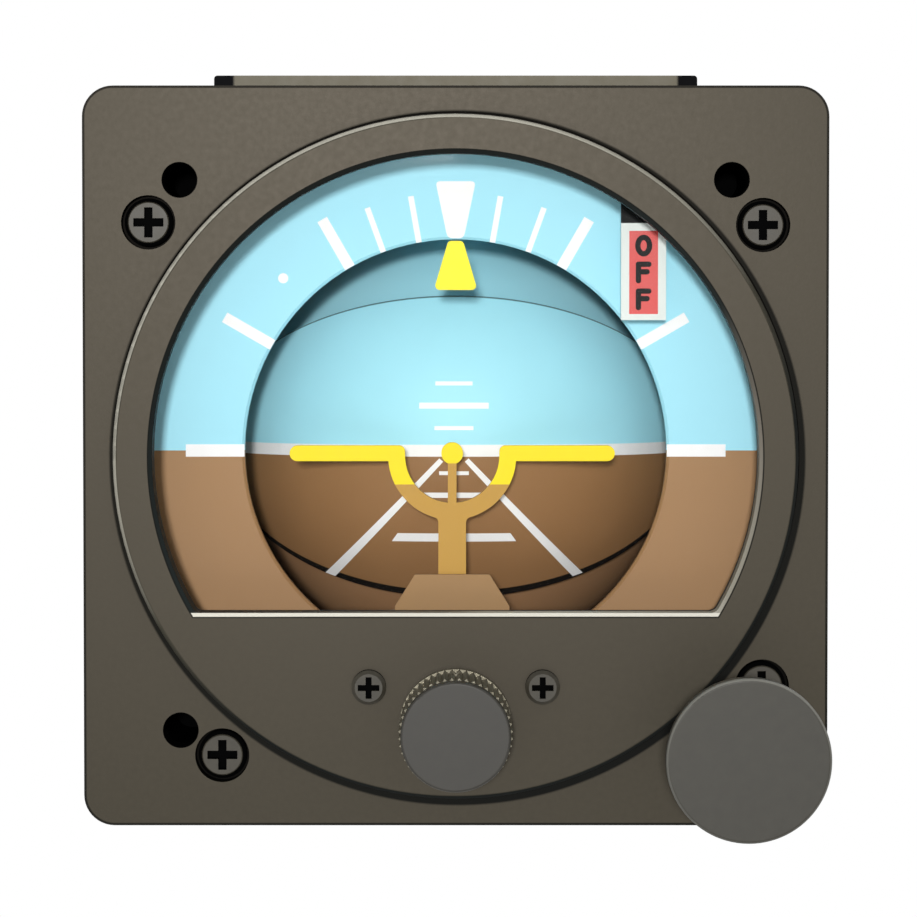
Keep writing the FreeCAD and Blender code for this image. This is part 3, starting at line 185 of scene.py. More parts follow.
def two_colour(name, upper, lower, split_z, rough=0.5, grain=6.0, specular=0.35, sag=0.0):
    """Enamel in two colours that meet at one height, each with a faint mottle. The line may sag away from the
    middle."""
    material, tree, shader, place = new_material(name)
    shader.inputs["Specular IOR Level"].default_value = specular
    parts = add_node(tree, "ShaderNodeSeparateXYZ", links={"Vector": place})
    square = add_node(tree, "ShaderNodeMath", {"operation": "MULTIPLY"},
                      {0: parts.outputs["X"], 1: parts.outputs["X"]})
    height = add_node(tree, "ShaderNodeMath", {"operation": "MULTIPLY_ADD", 1: sag},
                      {0: square.outputs[0], 2: parts.outputs["Z"]})
    above = add_node(tree, "ShaderNodeMath", {"operation": "GREATER_THAN", 1: split_z}, {0: height.outputs[0]})
    pick = add_node(tree, "ShaderNodeMix", {"data_type": "RGBA", 6: colour(lower), 7: colour(upper)},
                    {0: above.outputs[0]})
    mottle = add_node(tree, "ShaderNodeTexNoise", {"Scale": grain_scale(grain), "Detail": 3.0},
                      {"Vector": place})
    shade = add_node(tree, "ShaderNodeMapRange", {"To Min": 0.97, "To Max": 1.03},
                     {"Value": mottle.outputs["Fac"]})
    toned = add_node(tree, "ShaderNodeVectorMath", {"operation": "SCALE"},
                     {0: pick.outputs[2], "Scale": shade.outputs["Result"]})
    wander = add_node(tree, "ShaderNodeMapRange", {"To Min": rough - 0.05, "To Max": rough + 0.05},
                      {"Value": mottle.outputs["Fac"]})
    tree.links.new(toned.outputs["Vector"], shader.inputs["Base Color"])
    tree.links.new(wander.outputs["Result"], shader.inputs["Roughness"])
    return material


SPLIT_BLEND = mm(0.15)      # half the width over which one paint wears into the next


def split_paint(name, axis, threshold, near, far, metallic, rough, specular, mirrored=False):
    """One finish up to a place along an axis and another past it, each with a fine mottle. Metallic and
    specular are given for the two, and roughness as its range."""
    material, tree, shader, place = new_material(name)
    parts = add_node(tree, "ShaderNodeSeparateXYZ", links={"Vector": place})
    where = parts.outputs[axis]
    if mirrored:
        where = add_node(tree, "ShaderNodeMath", {"operation": "ABSOLUTE"}, {0: where}).outputs[0]
    past = add_node(tree, "ShaderNodeMapRange", {"From Min": threshold - SPLIT_BLEND,
                                                 "From Max": threshold + SPLIT_BLEND}, {"Value": where})
    mottle = add_node(tree, "ShaderNodeTexNoise", {"Scale": grain_scale(1.5), "Detail": 4.0}, {"Vector": place})
    pick = add_node(tree, "ShaderNodeMix", {"data_type": "RGBA", 6: colour(near), 7: colour(far)},
                    {0: past.outputs["Result"]})
    shade = add_node(tree, "ShaderNodeMapRange", {"To Min": 0.85, "To Max": 1.15},
                     {"Value": mottle.outputs["Fac"]})
    toned = add_node(tree, "ShaderNodeVectorMath", {"operation": "SCALE"},
                     {0: pick.outputs[2], "Scale": shade.outputs["Result"]})
    metal = add_node(tree, "ShaderNodeMapRange", {"To Min": metallic[0], "To Max": metallic[1]},
                     {"Value": past.outputs["Result"]})
    gloss = add_node(tree, "ShaderNodeMapRange", {"To Min": rough[0], "To Max": rough[1]},
                     {"Value": mottle.outputs["Fac"]})
    level = add_node(tree, "ShaderNodeMapRange", {"To Min": specular[0], "To Max": specular[1]},
                     {"Value": past.outputs["Result"]})
    shader.inputs["Specular IOR Level"].default_value = specular[0]
    tree.links.new(level.outputs["Result"], shader.inputs["Specular IOR Level"])
    tree.links.new(toned.outputs["Vector"], shader.inputs["Base Color"])
    tree.links.new(metal.outputs["Result"], shader.inputs["Metallic"])
    tree.links.new(gloss.outputs["Result"], shader.inputs["Roughness"])
    return material


# ------------------------------------------------------------------ painted places on a finish
MASK_BLEND = mm(0.04)       # half the width of a painted place's soft edge


def off_axis(tree, place):
    """A place without its depth, and its distance from the axis through zero."""
    flat = add_node(tree, "ShaderNodeVectorMath", {"operation": "MULTIPLY", 1: (1.0, 0.0, 1.0)}, {0: place})
    reach = add_node(tree, "ShaderNodeVectorMath", {"operation": "LENGTH"}, {0: flat.outputs["Vector"]})
    return flat.outputs["Vector"], reach.outputs["Value"]


def between(tree, value, low, high, blend=MASK_BLEND, within=None):
    """A mask that is 1 where a value lies between two limits, and within another mask if one is given. A limit
    is a number or a socket."""
    edges = []
    for limit in (low, high):
        gap = add_node(tree, "ShaderNodeMath", {"operation": "SUBTRACT"}, {0: value})
        if isinstance(limit, float):
            gap.inputs[1].default_value = limit
        else:
            tree.links.new(limit, gap.inputs[1])
        edges.append(add_node(tree, "ShaderNodeMapRange", {"From Min": -blend, "From Max": blend},
                              {"Value": gap.outputs[0]}))
    inside = add_node(tree, "ShaderNodeMath", {"operation": "SUBTRACT"},
                      {0: edges[0].outputs["Result"], 1: edges[1].outputs["Result"]})
    if within is not None:
        inside = add_node(tree, "ShaderNodeMath", {"operation": "MULTIPLY"}, {0: inside.outputs[0], 1: within})
    return inside.outputs[0]


def repaint(tree, shader, base, coats):
    """Lay coats over a base colour in turn: each is a mask, and a tone as a hex code or a socket."""
    for mask, tone in coats:
        if isinstance(tone, str):
            coat = add_node(tree, "ShaderNodeMix", {"data_type": "RGBA", 7: colour(tone)}, {0: mask, 6: base})
        else:
            coat = add_node(tree, "ShaderNodeMix", {"data_type": "RGBA"}, {0: mask, 6: base, 7: tone})
        base = coat.outputs[2]
    tree.links.new(base, shader.inputs["Base Color"])


def dull_where(tree, shader, mask, level, loss):
    """Give a finish this specular level, less a loss where the mask is 1."""
    gloss = add_node(tree, "ShaderNodeMath", {"operation": "MULTIPLY_ADD", 1: -loss, 2: level}, {0: mask})
    tree.links.new(gloss.outputs[0], shader.inputs["Specular IOR Level"])


# ------------------------------------------------------------------ the finishes
PANEL_HOLE = mm(31.43)      # each panel screw's distance from the roll axis, in X and in Z
PANEL_BORE = mm(2.05)       # a hair over the radius of its hole
# Painted shade inside the panel screws' bores and the screw heads' recesses.
HOLLOW_SHADE_TONE = "#070707"
HOLLOW_LEVEL = 0.3          # specular level beside a hollow; inside it there is none
FLANGE_RECESS_DEPTH = mm(0.12)      # how far behind a screw's head its painted recess shade starts
CHIN_RECESS_DEPTH = mm(0.45)
FLAG_ARM_Z = mm(26.6)       # the flag is a black arm above this height
KNURL_DEPTH = mm(1.4)       # how far behind the set knob's face its knurl is worn
COVER_END = mm(2.3)         # width of the cover's black ends


def make_materials():
    """Every finish of the instrument, by name."""
    made = {}
    # Baked semi-matt instrument enamel over a sand casting: a warm near-black with soft broad highlights.
    made["bezel"] = bezel_enamel()
    # The same enamel on the spun case, a little rougher.
    made["case"] = case_enamel()
    # Turned aluminium knobs, anodised and painted black: finer and flatter than the casting.
    made["knob"] = knob_enamel()
    # The adjuster's knurl is worn through to the nickel-plated brass behind its black face.
    made["knurled"] = worn_knob()
    # The cover's front is olive-grey between its black ends.
    made["cover"] = cover_with_dark_ends()
    # Dull black paint inside the window, which kills stray light.
    made["inside"] = textured("flat_black_paint", "#1b1b1a", "#141414", 3.0, (0.75, 0.9), bump=0.2)
    # Black-oxide steel screws: dark, with worn brown-grey edges and painted shade in their recesses.
    made["screw"] = screw_steel("black_oxide_steel")
    made["flange_screw"] = screw_steel("flange_screw_steel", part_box("bezel_screws")[0].y + FLANGE_RECESS_DEPTH)
    made["chin_screw"] = screw_steel("chin_screw_steel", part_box("chin_screws")[0].y + CHIN_RECESS_DEPTH)
    # Sky and ground enamels of the dial and the ball, screened and matt.
    made["dial"] = two_colour("dial_enamel", "#a9e9f9", "#a57f57", 0.0, specular=0.2)
    made["ball"] = ball_enamel()
    # The shields are painted lighter than the same enamels on the ball, as painted light against the shade they
    # sit in.
    made["sky"] = textured("sky_shield_enamel", "#b4f2ff", "#aeecfa", 6.0, (0.5, 0.6), bump=0.05)
    made["ground"] = textured("ground_shield_enamel", "#b58a62", "#ab815b", 6.0, (0.5, 0.6), bump=0.05)
    made["foot"] = textured("stem_mask_enamel", "#a37f53", "#9b784e", 5.0, (0.45, 0.55), bump=0.05,
                            specular=0.2)
    # White silk-screen ink.
    made["white"] = textured("white_ink", "#ffffff", "#f6f7f4", 2.0, (0.55, 0.65), bump=0.03)
    # Fluorescent yellow enamel, gold-tan below the cradle's arms.
    made["airplane"] = airplane_enamel()
    made["index"] = textured("yellow_enamel", "#fbee36", "#f3e22a", 2.0, (0.4, 0.5), bump=0.05, specular=0.15)
    # Warning flag: cream plate with a black arm, red panel and black letters.
    made["flag"] = two_colour("flag_enamel", "#0c0f0e", "#e2e9e4", FLAG_ARM_Z, specular=0.1)
    made["red"] = textured("flag_red_enamel", "#d9423c", "#cd3c37", 2.0, (0.45, 0.55), bump=0.05)
    made["letter"] = textured("black_ink", "#0d0c0b", "#080807", 1.0, (0.5, 0.6), bump=0.03, specular=0.2)
    # Ground steel shafts, bearings and pins.
    made["steel"] = textured("ground_steel", "#b8b8b6", "#a5a5a3", 1.0, (0.25, 0.4), metallic=1.0, bump=0.08,
                             stretch=(1, 8, 1))
    # Sand-cast aluminium of the gimbals.
    made["aluminium"] = textured("cast_aluminium", "#c3c4c2", "#adaeac", 2.5, (0.45, 0.6), metallic=1.0,
                                 bump=0.3)
    # Machined brass of the gears, bushings and rotor.
    made["brass"] = textured("machined_brass", "#c8a45a", "#b08c46", 1.5, (0.25, 0.4), metallic=1.0, bump=0.08)
    # Phenolic insulators.
    made["phenolic"] = textured("phenolic_resin", "#3a2a1f", "#2c2019", 1.5, (0.3, 0.45), bump=0.1)
    # Enamelled copper winding.
    made["copper"] = textured("enamelled_copper", "#b0653a", "#8f4d2a", 0.4, (0.3, 0.4), metallic=0.9, bump=0.4)
    # Olive-drab cadmium plating of the connector.
    made["olive"] = textured("olive_cadmium", "#6a6a4a", "#56573b", 2.0, (0.4, 0.5), metallic=0.6, bump=0.15)
    # Gold-plated contacts.
    made["gold"] = textured("gold_plating", "#e2bb5a", "#cfa546", 1.0, (0.2, 0.3), metallic=1.0, bump=0.05)
    # Green solder resist on the inverter's board.
    made["board"] = textured("solder_resist", "#2c6b3c", "#1f5530", 3.0, (0.3, 0.4), bump=0.1)
    made["glass"] = window_glass_material()
    return made


def panel_bores(tree, place):
    """A mask that is 1 inside the holes for the panel screws."""
    mirrored = add_node(tree, "ShaderNodeVectorMath", {"operation": "ABSOLUTE"}, {0: place})
    moved = add_node(tree, "ShaderNodeVectorMath", {"operation": "SUBTRACT", 1: (PANEL_HOLE, 0.0, PANEL_HOLE)},
                     {0: mirrored.outputs["Vector"]})
    radius = off_axis(tree, moved.outputs["Vector"])[1]
    return add_node(tree, "ShaderNodeMath", {"operation": "LESS_THAN", 1: PANEL_BORE}, {0: radius}).outputs[0]


def case_enamel():
    """Black enamel on the spun case, with painted shade inside the panel screws' holes."""
    made = textured("case_black_enamel", "#3a3731", "#2e2c27", 9.0, (0.48, 0.6), bump=0.35, bump_grain=0.7)
    tree, shader, base, place = pieces_of(made)
    bores = panel_bores(tree, place)
    repaint(tree, shader, base, ((bores, HOLLOW_SHADE_TONE),))
    dull_where(tree, shader, bores, HOLLOW_LEVEL, HOLLOW_LEVEL)
    return made


def screw_steel(name, recess_y=None):
    """Black oxide, worn to a brown-grey. Behind the depth given, the recess is painted dark as shade."""
    made = textured(name, "#413d33", "#2d2a23", 1.0, (0.38, 0.5), metallic=0.1, bump=0.3, bump_grain=0.2,
                    specular=0.35)
    if recess_y is not None:
        tree, shader, base, place = pieces_of(made)
        parts = add_node(tree, "ShaderNodeSeparateXYZ", links={"Vector": place})
        recess = add_node(tree, "ShaderNodeMath", {"operation": "GREATER_THAN", 1: recess_y},
                          {0: parts.outputs["Y"]}).outputs[0]
        repaint(tree, shader, base, ((recess, HOLLOW_SHADE_TONE),))
        dull_where(tree, shader, recess, HOLLOW_LEVEL, HOLLOW_LEVEL)
    return made


# Where light and shade are painted on the bezel's enamel. BEVEL_WIDTH and RING_FOOT_END are given at the lower
# right and the upper left, and so are the ends of each run of tones, from 0 to 1.
UPPER_LEFT = (-0.5, 0.0, 0.866)
BEZEL_LEVEL = 0.3                       # specular level of the open enamel
BEZEL_LOSS = 0.28                       # what the places of painted light and shade lose of it
WINDOW_RADIUS = mm(34.3)                # the window is a circle cut by a level sill
WINDOW_SILL = mm(-17.6)
BEVEL_WIDTH = (mm(0.42), mm(0.54))
BEVEL_TURN = (0.35, 0.6)                # where its width changes, on the way from 0 to 1
BEVEL_SHADOW_LINE = (mm(0.44), mm(0.58))       # the painted shadow line round the bevel, from the window's edge
RING_RIM = (mm(38.4), mm(38.95))        # radii of the raised ring's edge, where a highlight is painted
RING_RIM_DEPTH = mm(0.9)                # how far back that painted highlight reaches
RING_FOOT = mm(38.7)                    # the painted shadow in the corner between ring and flange starts at this radius
RING_FOOT_END = (mm(40.1), mm(39.3))
RING_FOOT_BLEND = mm(0.12)
RING_FOOT_Y = mm(-1.5)                  # nothing in front of this depth is in that corner
RECESS_Y = mm(0.25)                     # what lies behind this depth is in shadow
FLANGE_ROUND = mm(3.5)                  # corner radius of the flange
FLANGE_EDGE = mm(0.28)                  # width of the painted shade along its edge
# Runs of painted light and shade, from the lower right to the upper left.
RING_RIM_HIGHLIGHT_TONES = ((0.3, "#1b1d1c"), (0.5, "#3c3a32"), (0.66, "#88857a"), (0.9, "#aaa79b"))
RING_SHADOW_TONES = ((0.0, "#161716"), (1.0, "#1f1e1a"))
# The sill takes the first of the bevel's tones.
BEVEL_LIGHT_AND_SHADE_TONES = ((0.0, "#d2cfc3"), (0.08, "#8a867a"), (0.3, "#67625a"), (0.5, "#1c2121"), (1.0, "#0d1212"))
BEVEL_SHADOW_TONES = ((0.0, "#1c1c1a"), (1.0, "#0d1212"))
RECESS_SHADE_TONES = ((0.0, "#0c0c0b"), (1.0, "#100f0e"))
FLANGE_EDGE_SHADE_TONES = ((0.0, "#1d1d1a"), (1.0, "#2b2925"))
BORE_SHADE_TONES = ((0.0, "#060606"), (1.0, "#080808"))


def bezel_enamel():
    """Baked semi-matt black enamel on a sand casting, with light and shade painted on: a painted highlight on
    the ring's edge at the upper left and along the window's sill, and painted shade in every corner, recess and
    outer edge."""
    made = textured("baked_black_enamel", "#322f26", "#25231b", 0.7, (0.4, 0.5), bump=0.35,
                    specular=BEZEL_LEVEL)
    tree, shader, base, place = pieces_of(made)
    shader.inputs["Specular Tint"].default_value = colour("#fff0dc")
    parts = add_node(tree, "ShaderNodeSeparateXYZ", links={"Vector": place})
    y = parts.outputs["Y"]
    z = parts.outputs["Z"]
    flat, radius = off_axis(tree, place)
    # 0 at the lower right of the bezel and 1 at its upper left.
    outward = add_node(tree, "ShaderNodeVectorMath", {"operation": "NORMALIZE"}, {0: flat})
    leaning = add_node(tree, "ShaderNodeVectorMath", {"operation": "DOT_PRODUCT", 1: UPPER_LEFT},
                       {0: outward.outputs["Vector"]})
    side = add_node(tree, "ShaderNodeMapRange", {"From Min": -1.0, "From Max": 1.0},
                    {"Value": leaning.outputs["Value"]}).outputs["Result"]
    # The raised ring's outer edge, with its painted highlight, and the painted shadow in the corner it makes
    # with the flange.
    rim = between(tree, radius, *RING_RIM, within=between(tree, y, -FAR, bezel_low.y + RING_RIM_DEPTH))
    foot_end = add_node(tree, "ShaderNodeMapRange", {"To Min": RING_FOOT_END[0], "To Max": RING_FOOT_END[1]},
                        {"Value": side})
    foot = between(tree, radius, RING_FOOT, foot_end.outputs["Result"], RING_FOOT_BLEND,
                   between(tree, y, RING_FOOT_Y, FAR))
    # The window's bevel, with painted light and shade: a highlight along the sill, softer at the right, shadow
    # under the brow.
    past_circle = add_node(tree, "ShaderNodeMath", {"operation": "SUBTRACT", 1: WINDOW_RADIUS}, {0: radius})
    past_sill = add_node(tree, "ShaderNodeMath", {"operation": "SUBTRACT", 0: WINDOW_SILL}, {1: z})
    past_edge = add_node(tree, "ShaderNodeMath", {"operation": "MAXIMUM"},
                         {0: past_circle.outputs[0], 1: past_sill.outputs[0]}).outputs[0]
    on_sill = add_node(tree, "ShaderNodeMath", {"operation": "LESS_THAN", 1: WINDOW_SILL}, {0: z})
    off_sill = add_node(tree, "ShaderNodeMath", {"operation": "SUBTRACT", 0: 1.0}, {1: on_sill.outputs[0]})
    bevel_side = add_node(tree, "ShaderNodeMath", {"operation": "MULTIPLY"}, {0: side, 1: off_sill.outputs[0]})
    bevel_width = add_node(tree, "ShaderNodeMapRange", {"From Min": BEVEL_TURN[0], "From Max": BEVEL_TURN[1],
                                                        "To Min": BEVEL_WIDTH[0], "To Max": BEVEL_WIDTH[1]},
                           {"Value": side})
    bevel = between(tree, past_edge, -FAR, bevel_width.outputs["Result"])
    bevel_shadow = between(tree, past_edge, *BEVEL_SHADOW_LINE)
    recess = between(tree, y, RECESS_Y, FAR)
    # The flange's edge, where shade is painted: the distance past a square that is smaller by the corner's
    # radius.
    middle = (bezel_low + bezel_high) / 2
    half = (bezel_high - bezel_low) / 2
    centred = add_node(tree, "ShaderNodeVectorMath", {"operation": "SUBTRACT", 1: (middle.x, 0.0, middle.z)},
                       {0: flat})
    mirrored = add_node(tree, "ShaderNodeVectorMath", {"operation": "ABSOLUTE"}, {0: centred.outputs["Vector"]})
    over = add_node(tree, "ShaderNodeVectorMath",
                    {"operation": "SUBTRACT", 1: (half.x - FLANGE_ROUND, 0.0, half.z - FLANGE_ROUND)},
                    {0: mirrored.outputs["Vector"]})
    outside = add_node(tree, "ShaderNodeVectorMath", {"operation": "MAXIMUM", 1: (0.0, 0.0, 0.0)},
                       {0: over.outputs["Vector"]})
    to_edge = add_node(tree, "ShaderNodeVectorMath", {"operation": "LENGTH"}, {0: outside.outputs["Vector"]})
    edge = between(tree, to_edge.outputs["Value"], FLANGE_ROUND - FLANGE_EDGE, FAR)
    bores = panel_bores(tree, place)
    coats = []
    dull = bores
    for mask, along, tones in ((rim, side, RING_RIM_HIGHLIGHT_TONES), (foot, side, RING_SHADOW_TONES),
                               (bevel, bevel_side.outputs[0], BEVEL_LIGHT_AND_SHADE_TONES), (bevel_shadow, side, BEVEL_SHADOW_TONES),
                               (recess, side, RECESS_SHADE_TONES), (edge, side, FLANGE_EDGE_SHADE_TONES),
                               (bores, side, BORE_SHADE_TONES)):
        tone = add_node(tree, "ShaderNodeValToRGB", {"stops": tones}, {"Fac": along})
        coats.append((mask, tone.outputs["Color"]))
        dull = add_node(tree, "ShaderNodeMath", {"operation": "MAXIMUM"}, {0: dull, 1: mask}).outputs[0]
    repaint(tree, shader, base, coats)
    dull_where(tree, shader, dull, BEZEL_LEVEL, BEZEL_LOSS)
    return made


BALL_SHADE_ABOVE = math.radians(0.4)     # painted shade along the ball's cut edges, as seen from its middle
BALL_SHADOW_BELOW = math.radians(1.9)
BALL_SHADE_BLEND = math.radians(0.1)


def ball_enamel():
    """Sky over ground, with shade painted along the ball's cut edges: a hair above, a broader shadow line below.
    """
    made = two_colour("ball_enamel", "#aeeefc", "#9a734c", BALL_TRIM_Z, specular=0.2, sag=BALL_SAG)
    tree, shader, base, place = pieces_of(made)
    parts = add_node(tree, "ShaderNodeSeparateXYZ", links={"Vector": place})
    depth = add_node(tree, "ShaderNodeMath", {"operation": "SUBTRACT", 0: BALL_AXIS_Y}, {1: parts.outputs["Y"]})
    turn = add_node(tree, "ShaderNodeMath", {"operation": "ARCTAN2"},
                    {0: parts.outputs["Z"], 1: depth.outputs[0]}).outputs[0]
    above = between(tree, turn, BALL_EDGE - BALL_SHADE_ABOVE, math.pi, BALL_SHADE_BLEND)
    below = between(tree, turn, -math.pi, -BALL_EDGE + BALL_SHADOW_BELOW, BALL_SHADE_BLEND)
    repaint(tree, shader, base, ((above, "#56777d"), (below, "#1a1613")))
    return made


RIM_HIGHLIGHT_WIDTH = mm(0.22)     # the cage knob's rim with its painted highlight, across its face and back from it
RIM_HIGHLIGHT_DEPTH = mm(0.5)
RIM_HIGHLIGHT_TONES = ((0.0, "#4a4943"), (0.55, "#5f5e58"), (1.0, "#73726b"))


def knob_enamel():
    """Turned aluminium painted black: finer and flatter than the casting, with a painted highlight along its
    rim, lighter towards the top.
    """
    made = textured("knob_black_enamel", "#3c3a33", "#33312b", 1.0, (0.42, 0.5), bump=0.2, bump_grain=0.25,
                    specular=0.3)
    tree, shader, base, place = pieces_of(made)
    moved = add_node(tree, "ShaderNodeVectorMath", {"operation": "SUBTRACT", 1: (KNOB_X, 0.0, KNOB_Z)},
                     {0: place})
    radius = off_axis(tree, moved.outputs["Vector"])[1]
    parts = add_node(tree, "ShaderNodeSeparateXYZ", links={"Vector": moved.outputs["Vector"]})
    rim = between(tree, radius, KNOB_RADIUS - RIM_HIGHLIGHT_WIDTH, FAR,
                  within=between(tree, parts.outputs["Y"], -FAR, KNOB_FRONT + RIM_HIGHLIGHT_DEPTH))
    upward = add_node(tree, "ShaderNodeMapRange", {"From Min": -KNOB_RADIUS, "From Max": KNOB_RADIUS},
                      {"Value": parts.outputs["Z"]})
    tone = add_node(tree, "ShaderNodeValToRGB", {"stops": RIM_HIGHLIGHT_TONES}, {"Fac": upward.outputs["Result"]})
    repaint(tree, shader, base, ((rim, tone.outputs["Color"]),))
    return made


def worn_knob():
    """Black face, and a knurl worn to its plating."""
    knurl_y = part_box("set_knob")[0].y + KNURL_DEPTH
    return split_paint("worn_nickel_brass", "Y", knurl_y, "#33312c", "#6f6a5b", (0.0, 0.6), (0.4, 0.5),
                       (0.3, 0.4))


GOLD_BELOW = mm(-3.6)       # the airplane is gold below this height
POST_HALF_WIDTH = mm(1.3)   # and on the post under its dot
POST_SIDE_BLEND = mm(0.02)
POST_TOP = mm(-1.15)
POST_TOP_BLEND = mm(0.1)
GOLD_ENAMEL = "#bd9240"


def airplane_enamel():
    """Yellow enamel on the arms and the dot, gold below and on the post."""
    made = two_colour("airplane_enamel", "#f5db12", GOLD_ENAMEL, GOLD_BELOW, rough=0.42, grain=2.0,
                      specular=0.15)
    tree, shader, base, place = pieces_of(made)
    parts = add_node(tree, "ShaderNodeSeparateXYZ", links={"Vector": place})
    middle = (plane_low.x + plane_high.x) / 2
    post = between(tree, parts.outputs["X"], middle - POST_HALF_WIDTH, middle + POST_HALF_WIDTH,
                   POST_SIDE_BLEND, between(tree, parts.outputs["Z"], -FAR, POST_TOP, POST_TOP_BLEND))
    repaint(tree, shader, base, ((post, GOLD_ENAMEL),))
    return made


def cover_with_dark_ends():
    """Olive-grey middle and black ends of the electronics cover."""
    end_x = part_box("top_cover")[1].x - COVER_END
    return split_paint("cover_enamel_dark_ends", "X", end_x, "#5a5443", "#0a0a0c", (0.1, 0.0), (0.42, 0.55),
                       (0.3, 0.02), mirrored=True)


def window_glass_material():
    """Coated float glass: clear, with only a faint gloss. A thin coat of dark alpha carries the reflection."""
    material, tree, shader, place = new_material("coated_float_glass")
    shader.inputs["Base Color"].default_value = colour("#1c2224")
    shader.inputs["IOR"].default_value = 1.5
    shader.inputs["Alpha"].default_value = 0.015
    smear = add_node(tree, "ShaderNodeTexNoise", {"Scale": grain_scale(25.0), "Detail": 2.0}, {"Vector": place})
    gloss = add_node(tree, "ShaderNodeMapRange", {"To Min": 0.02, "To Max": 0.07},
                     {"Value": smear.outputs["Fac"]})
    tree.links.new(gloss.outputs["Result"], shader.inputs["Roughness"])
    return material


FINISHES = {
    "bezel": ["bezel"],
    "case": ["case_body", "rear_cover"],
    "cover": ["top_cover"],
    "knob": ["cage_knob"],
    "knurled": ["set_knob"],
    "glass": ["window_glass"],
    "inside": ["glass_retainer", "slide_bracket"],
    "index": ["bank_index"],
    "screw": ["set_knob_screw", "rear_cover_screws", "top_cover_screws", "connector_screws"],
    "flange_screw": ["bezel_screws"],
    "chin_screw": ["chin_screws"],
    "dial": ["bank_dial"],
    "ball": ["pitch_ball"],
    "sky": ["sky_shield"],
    "ground": ["ground_shield"],
    "foot": ["stem_shield"],
    "airplane": ["airplane_symbol"],
    "flag": ["off_flag"],
    "steel": ["roll_shaft", "ball_pins", "gyro_trunnions", "rotor_spindle", "set_shaft", "cage_rod",
              "guide_pins", "flag_pivot", "airplane_rivets", "cage_spring", "spin_bearings", "pitch_bearings",
              "roll_bearing_front", "roll_bearing_rear", "roll_weights", "brushes"],
    "aluminium": ["roll_frame", "gyro_housing", "gyro_cover", "cage_finger"],
    "brass": ["ball_gear", "gyro_gear", "set_bushing", "cage_bushing", "airplane_carrier", "rotor"],
    "phenolic": ["connector_insert", "slip_rings", "brush_block"],
    "copper": ["flag_coil"],
    "olive": ["connector_shell"],
    "gold": ["connector_pins"],
    "board": ["inverter_board"],
}


def dress_nodes(made):
    """Give every CAD node its finish."""
    for finish, names in FINISHES.items():
        for name in names:
            if not nodes[name].material_slots:
                nodes[name].data.materials.append(made[finish])
            for slot in nodes[name].material_slots:
                slot.material = made[finish]


# ------------------------------------------------------------------ mesh helpers
WELD_REACH = mm(0.002)      # points closer than this are one point


def new_piece(name, shape, material, body):
    """A finished piece from a bmesh: normals outward, one material, riding on its body."""
    bmesh.ops.recalc_face_normals(shape, faces=shape.faces)
    mesh = bpy.data.meshes.new(name)
    shape.to_mesh(mesh)
    shape.free()
    mesh.materials.append(material)
    piece = bpy.data.objects.new(name, mesh)
    bpy.context.scene.collection.objects.link(piece)
    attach(piece, body)
    return piece


def add_prism(shape, outline, y_front, y_back):
    """A closed prism from a counter-clockwise outline in X and Z."""
    front = [shape.verts.new((x, y_front, z)) for x, z in outline]
    back = [shape.verts.new((x, y_back, z)) for x, z in outline]
    shape.faces.new(front)
    shape.faces.new(list(reversed(back)))
    for i in range(len(outline)):
        j = (i + 1) % len(outline)
        shape.faces.new((front[j], front[i], back[i], back[j]))


def disc_outline(x, z, radius, faces=24):
    """A circle in millimetres as a counter-clockwise outline in metres."""
    turns = [2 * math.pi * i / faces for i in range(faces)]
    return [(mm(x + radius * math.cos(t)), mm(z + radius * math.sin(t))) for t in turns]


def rounded_outline(corners, radius, faces=4):
    """A polygon in millimetres with rounded corners, as an outline in metres."""
    outline = []
    for i, corner in enumerate(corners):
        here = Vector(corner)
        before = (Vector(corners[i - 1]) - here).normalized()
        after = (Vector(corners[(i + 1) % len(corners)]) - here).normalized()
        start = here + before * radius
        end = here + after * radius
        for step in range(faces + 1):
            t = step / faces
            point = start * (1 - t) ** 2 + here * 2 * t * (1 - t) + end * t ** 2
            outline.append((mm(point.x), mm(point.y)))
    return outline


def welded_copy(node):
    """A CAD node's mesh with its loose triangles joined."""
    shape = bmesh.new()
    shape.from_mesh(nodes[node].data)
    bmesh.ops.remove_doubles(shape, verts=shape.verts, dist=WELD_REACH)
    return shape


# ------------------------------------------------------------------ remade pieces
AIRPLANE_ROUND = mm(0.14)   # how far the airplane's stamped edges are broken
FLAT_WITHIN = math.radians(1.0)     # faces that turn less than this are one face
SHARP_FROM = math.radians(40)       # and an edge that turns more than this is broken


def miniature_airplane(made):
    """The airplane with its stamped edges broken."""
    shape = welded_copy("airplane_symbol")
    bmesh.ops.dissolve_limit(shape, angle_limit=FLAT_WITHIN, verts=shape.verts, edges=shape.edges)
    sharp = [edge for edge in shape.edges if len(edge.link_faces) == 2 and edge.calc_face_angle() > SHARP_FROM]
    bmesh.ops.bevel(shape, geom=sharp, offset=AIRPLANE_ROUND, segments=2, affect="EDGES", profile=0.5,
                    clamp_overlap=True)
    body = nodes["airplane_symbol"]["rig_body"]
    airplane = new_piece("miniature_airplane", shape, made["airplane"], body)
    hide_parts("airplane_symbol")


LAP_DEPTH = mm(2.2)         # how far the laps lie under the ball's face
LAP_WALL = mm(0.5)
LAP_HALF_WIDTH = mm(24.2)
LAP_ANGLES = (9.0, 27.6)    # degrees from the horizon
LAP_ROWS = 8
LAP_COLUMNS = 32
LAPS = (                    # name, shield, finish, slot, and 1 above the horizon or -1 below it
    ("sky_lap", "sky_shield", "sky", "sky_enamel", 1),
    ("ground_lap", "ground_shield", "ground", "ground_enamel", -1),
)


def lap_rows(shape, radius, side):
    """Rows of points on a sphere about the ball's middle, from the horizon outwards."""
    rows = []
    for i in range(LAP_ROWS + 1):
        angle = math.radians(LAP_ANGLES[0] + (LAP_ANGLES[1] - LAP_ANGLES[0]) * i / LAP_ROWS)
        row = []
        for j in range(LAP_COLUMNS + 1):
            x = LAP_HALF_WIDTH * (2 * j / LAP_COLUMNS - 1)
            reach = math.sqrt(radius ** 2 - x ** 2)
            y = BALL_AXIS_Y - reach * math.cos(angle)
            row.append(shape.verts.new((x, y, side * reach * math.sin(angle))))
        rows.append(row)
    return rows


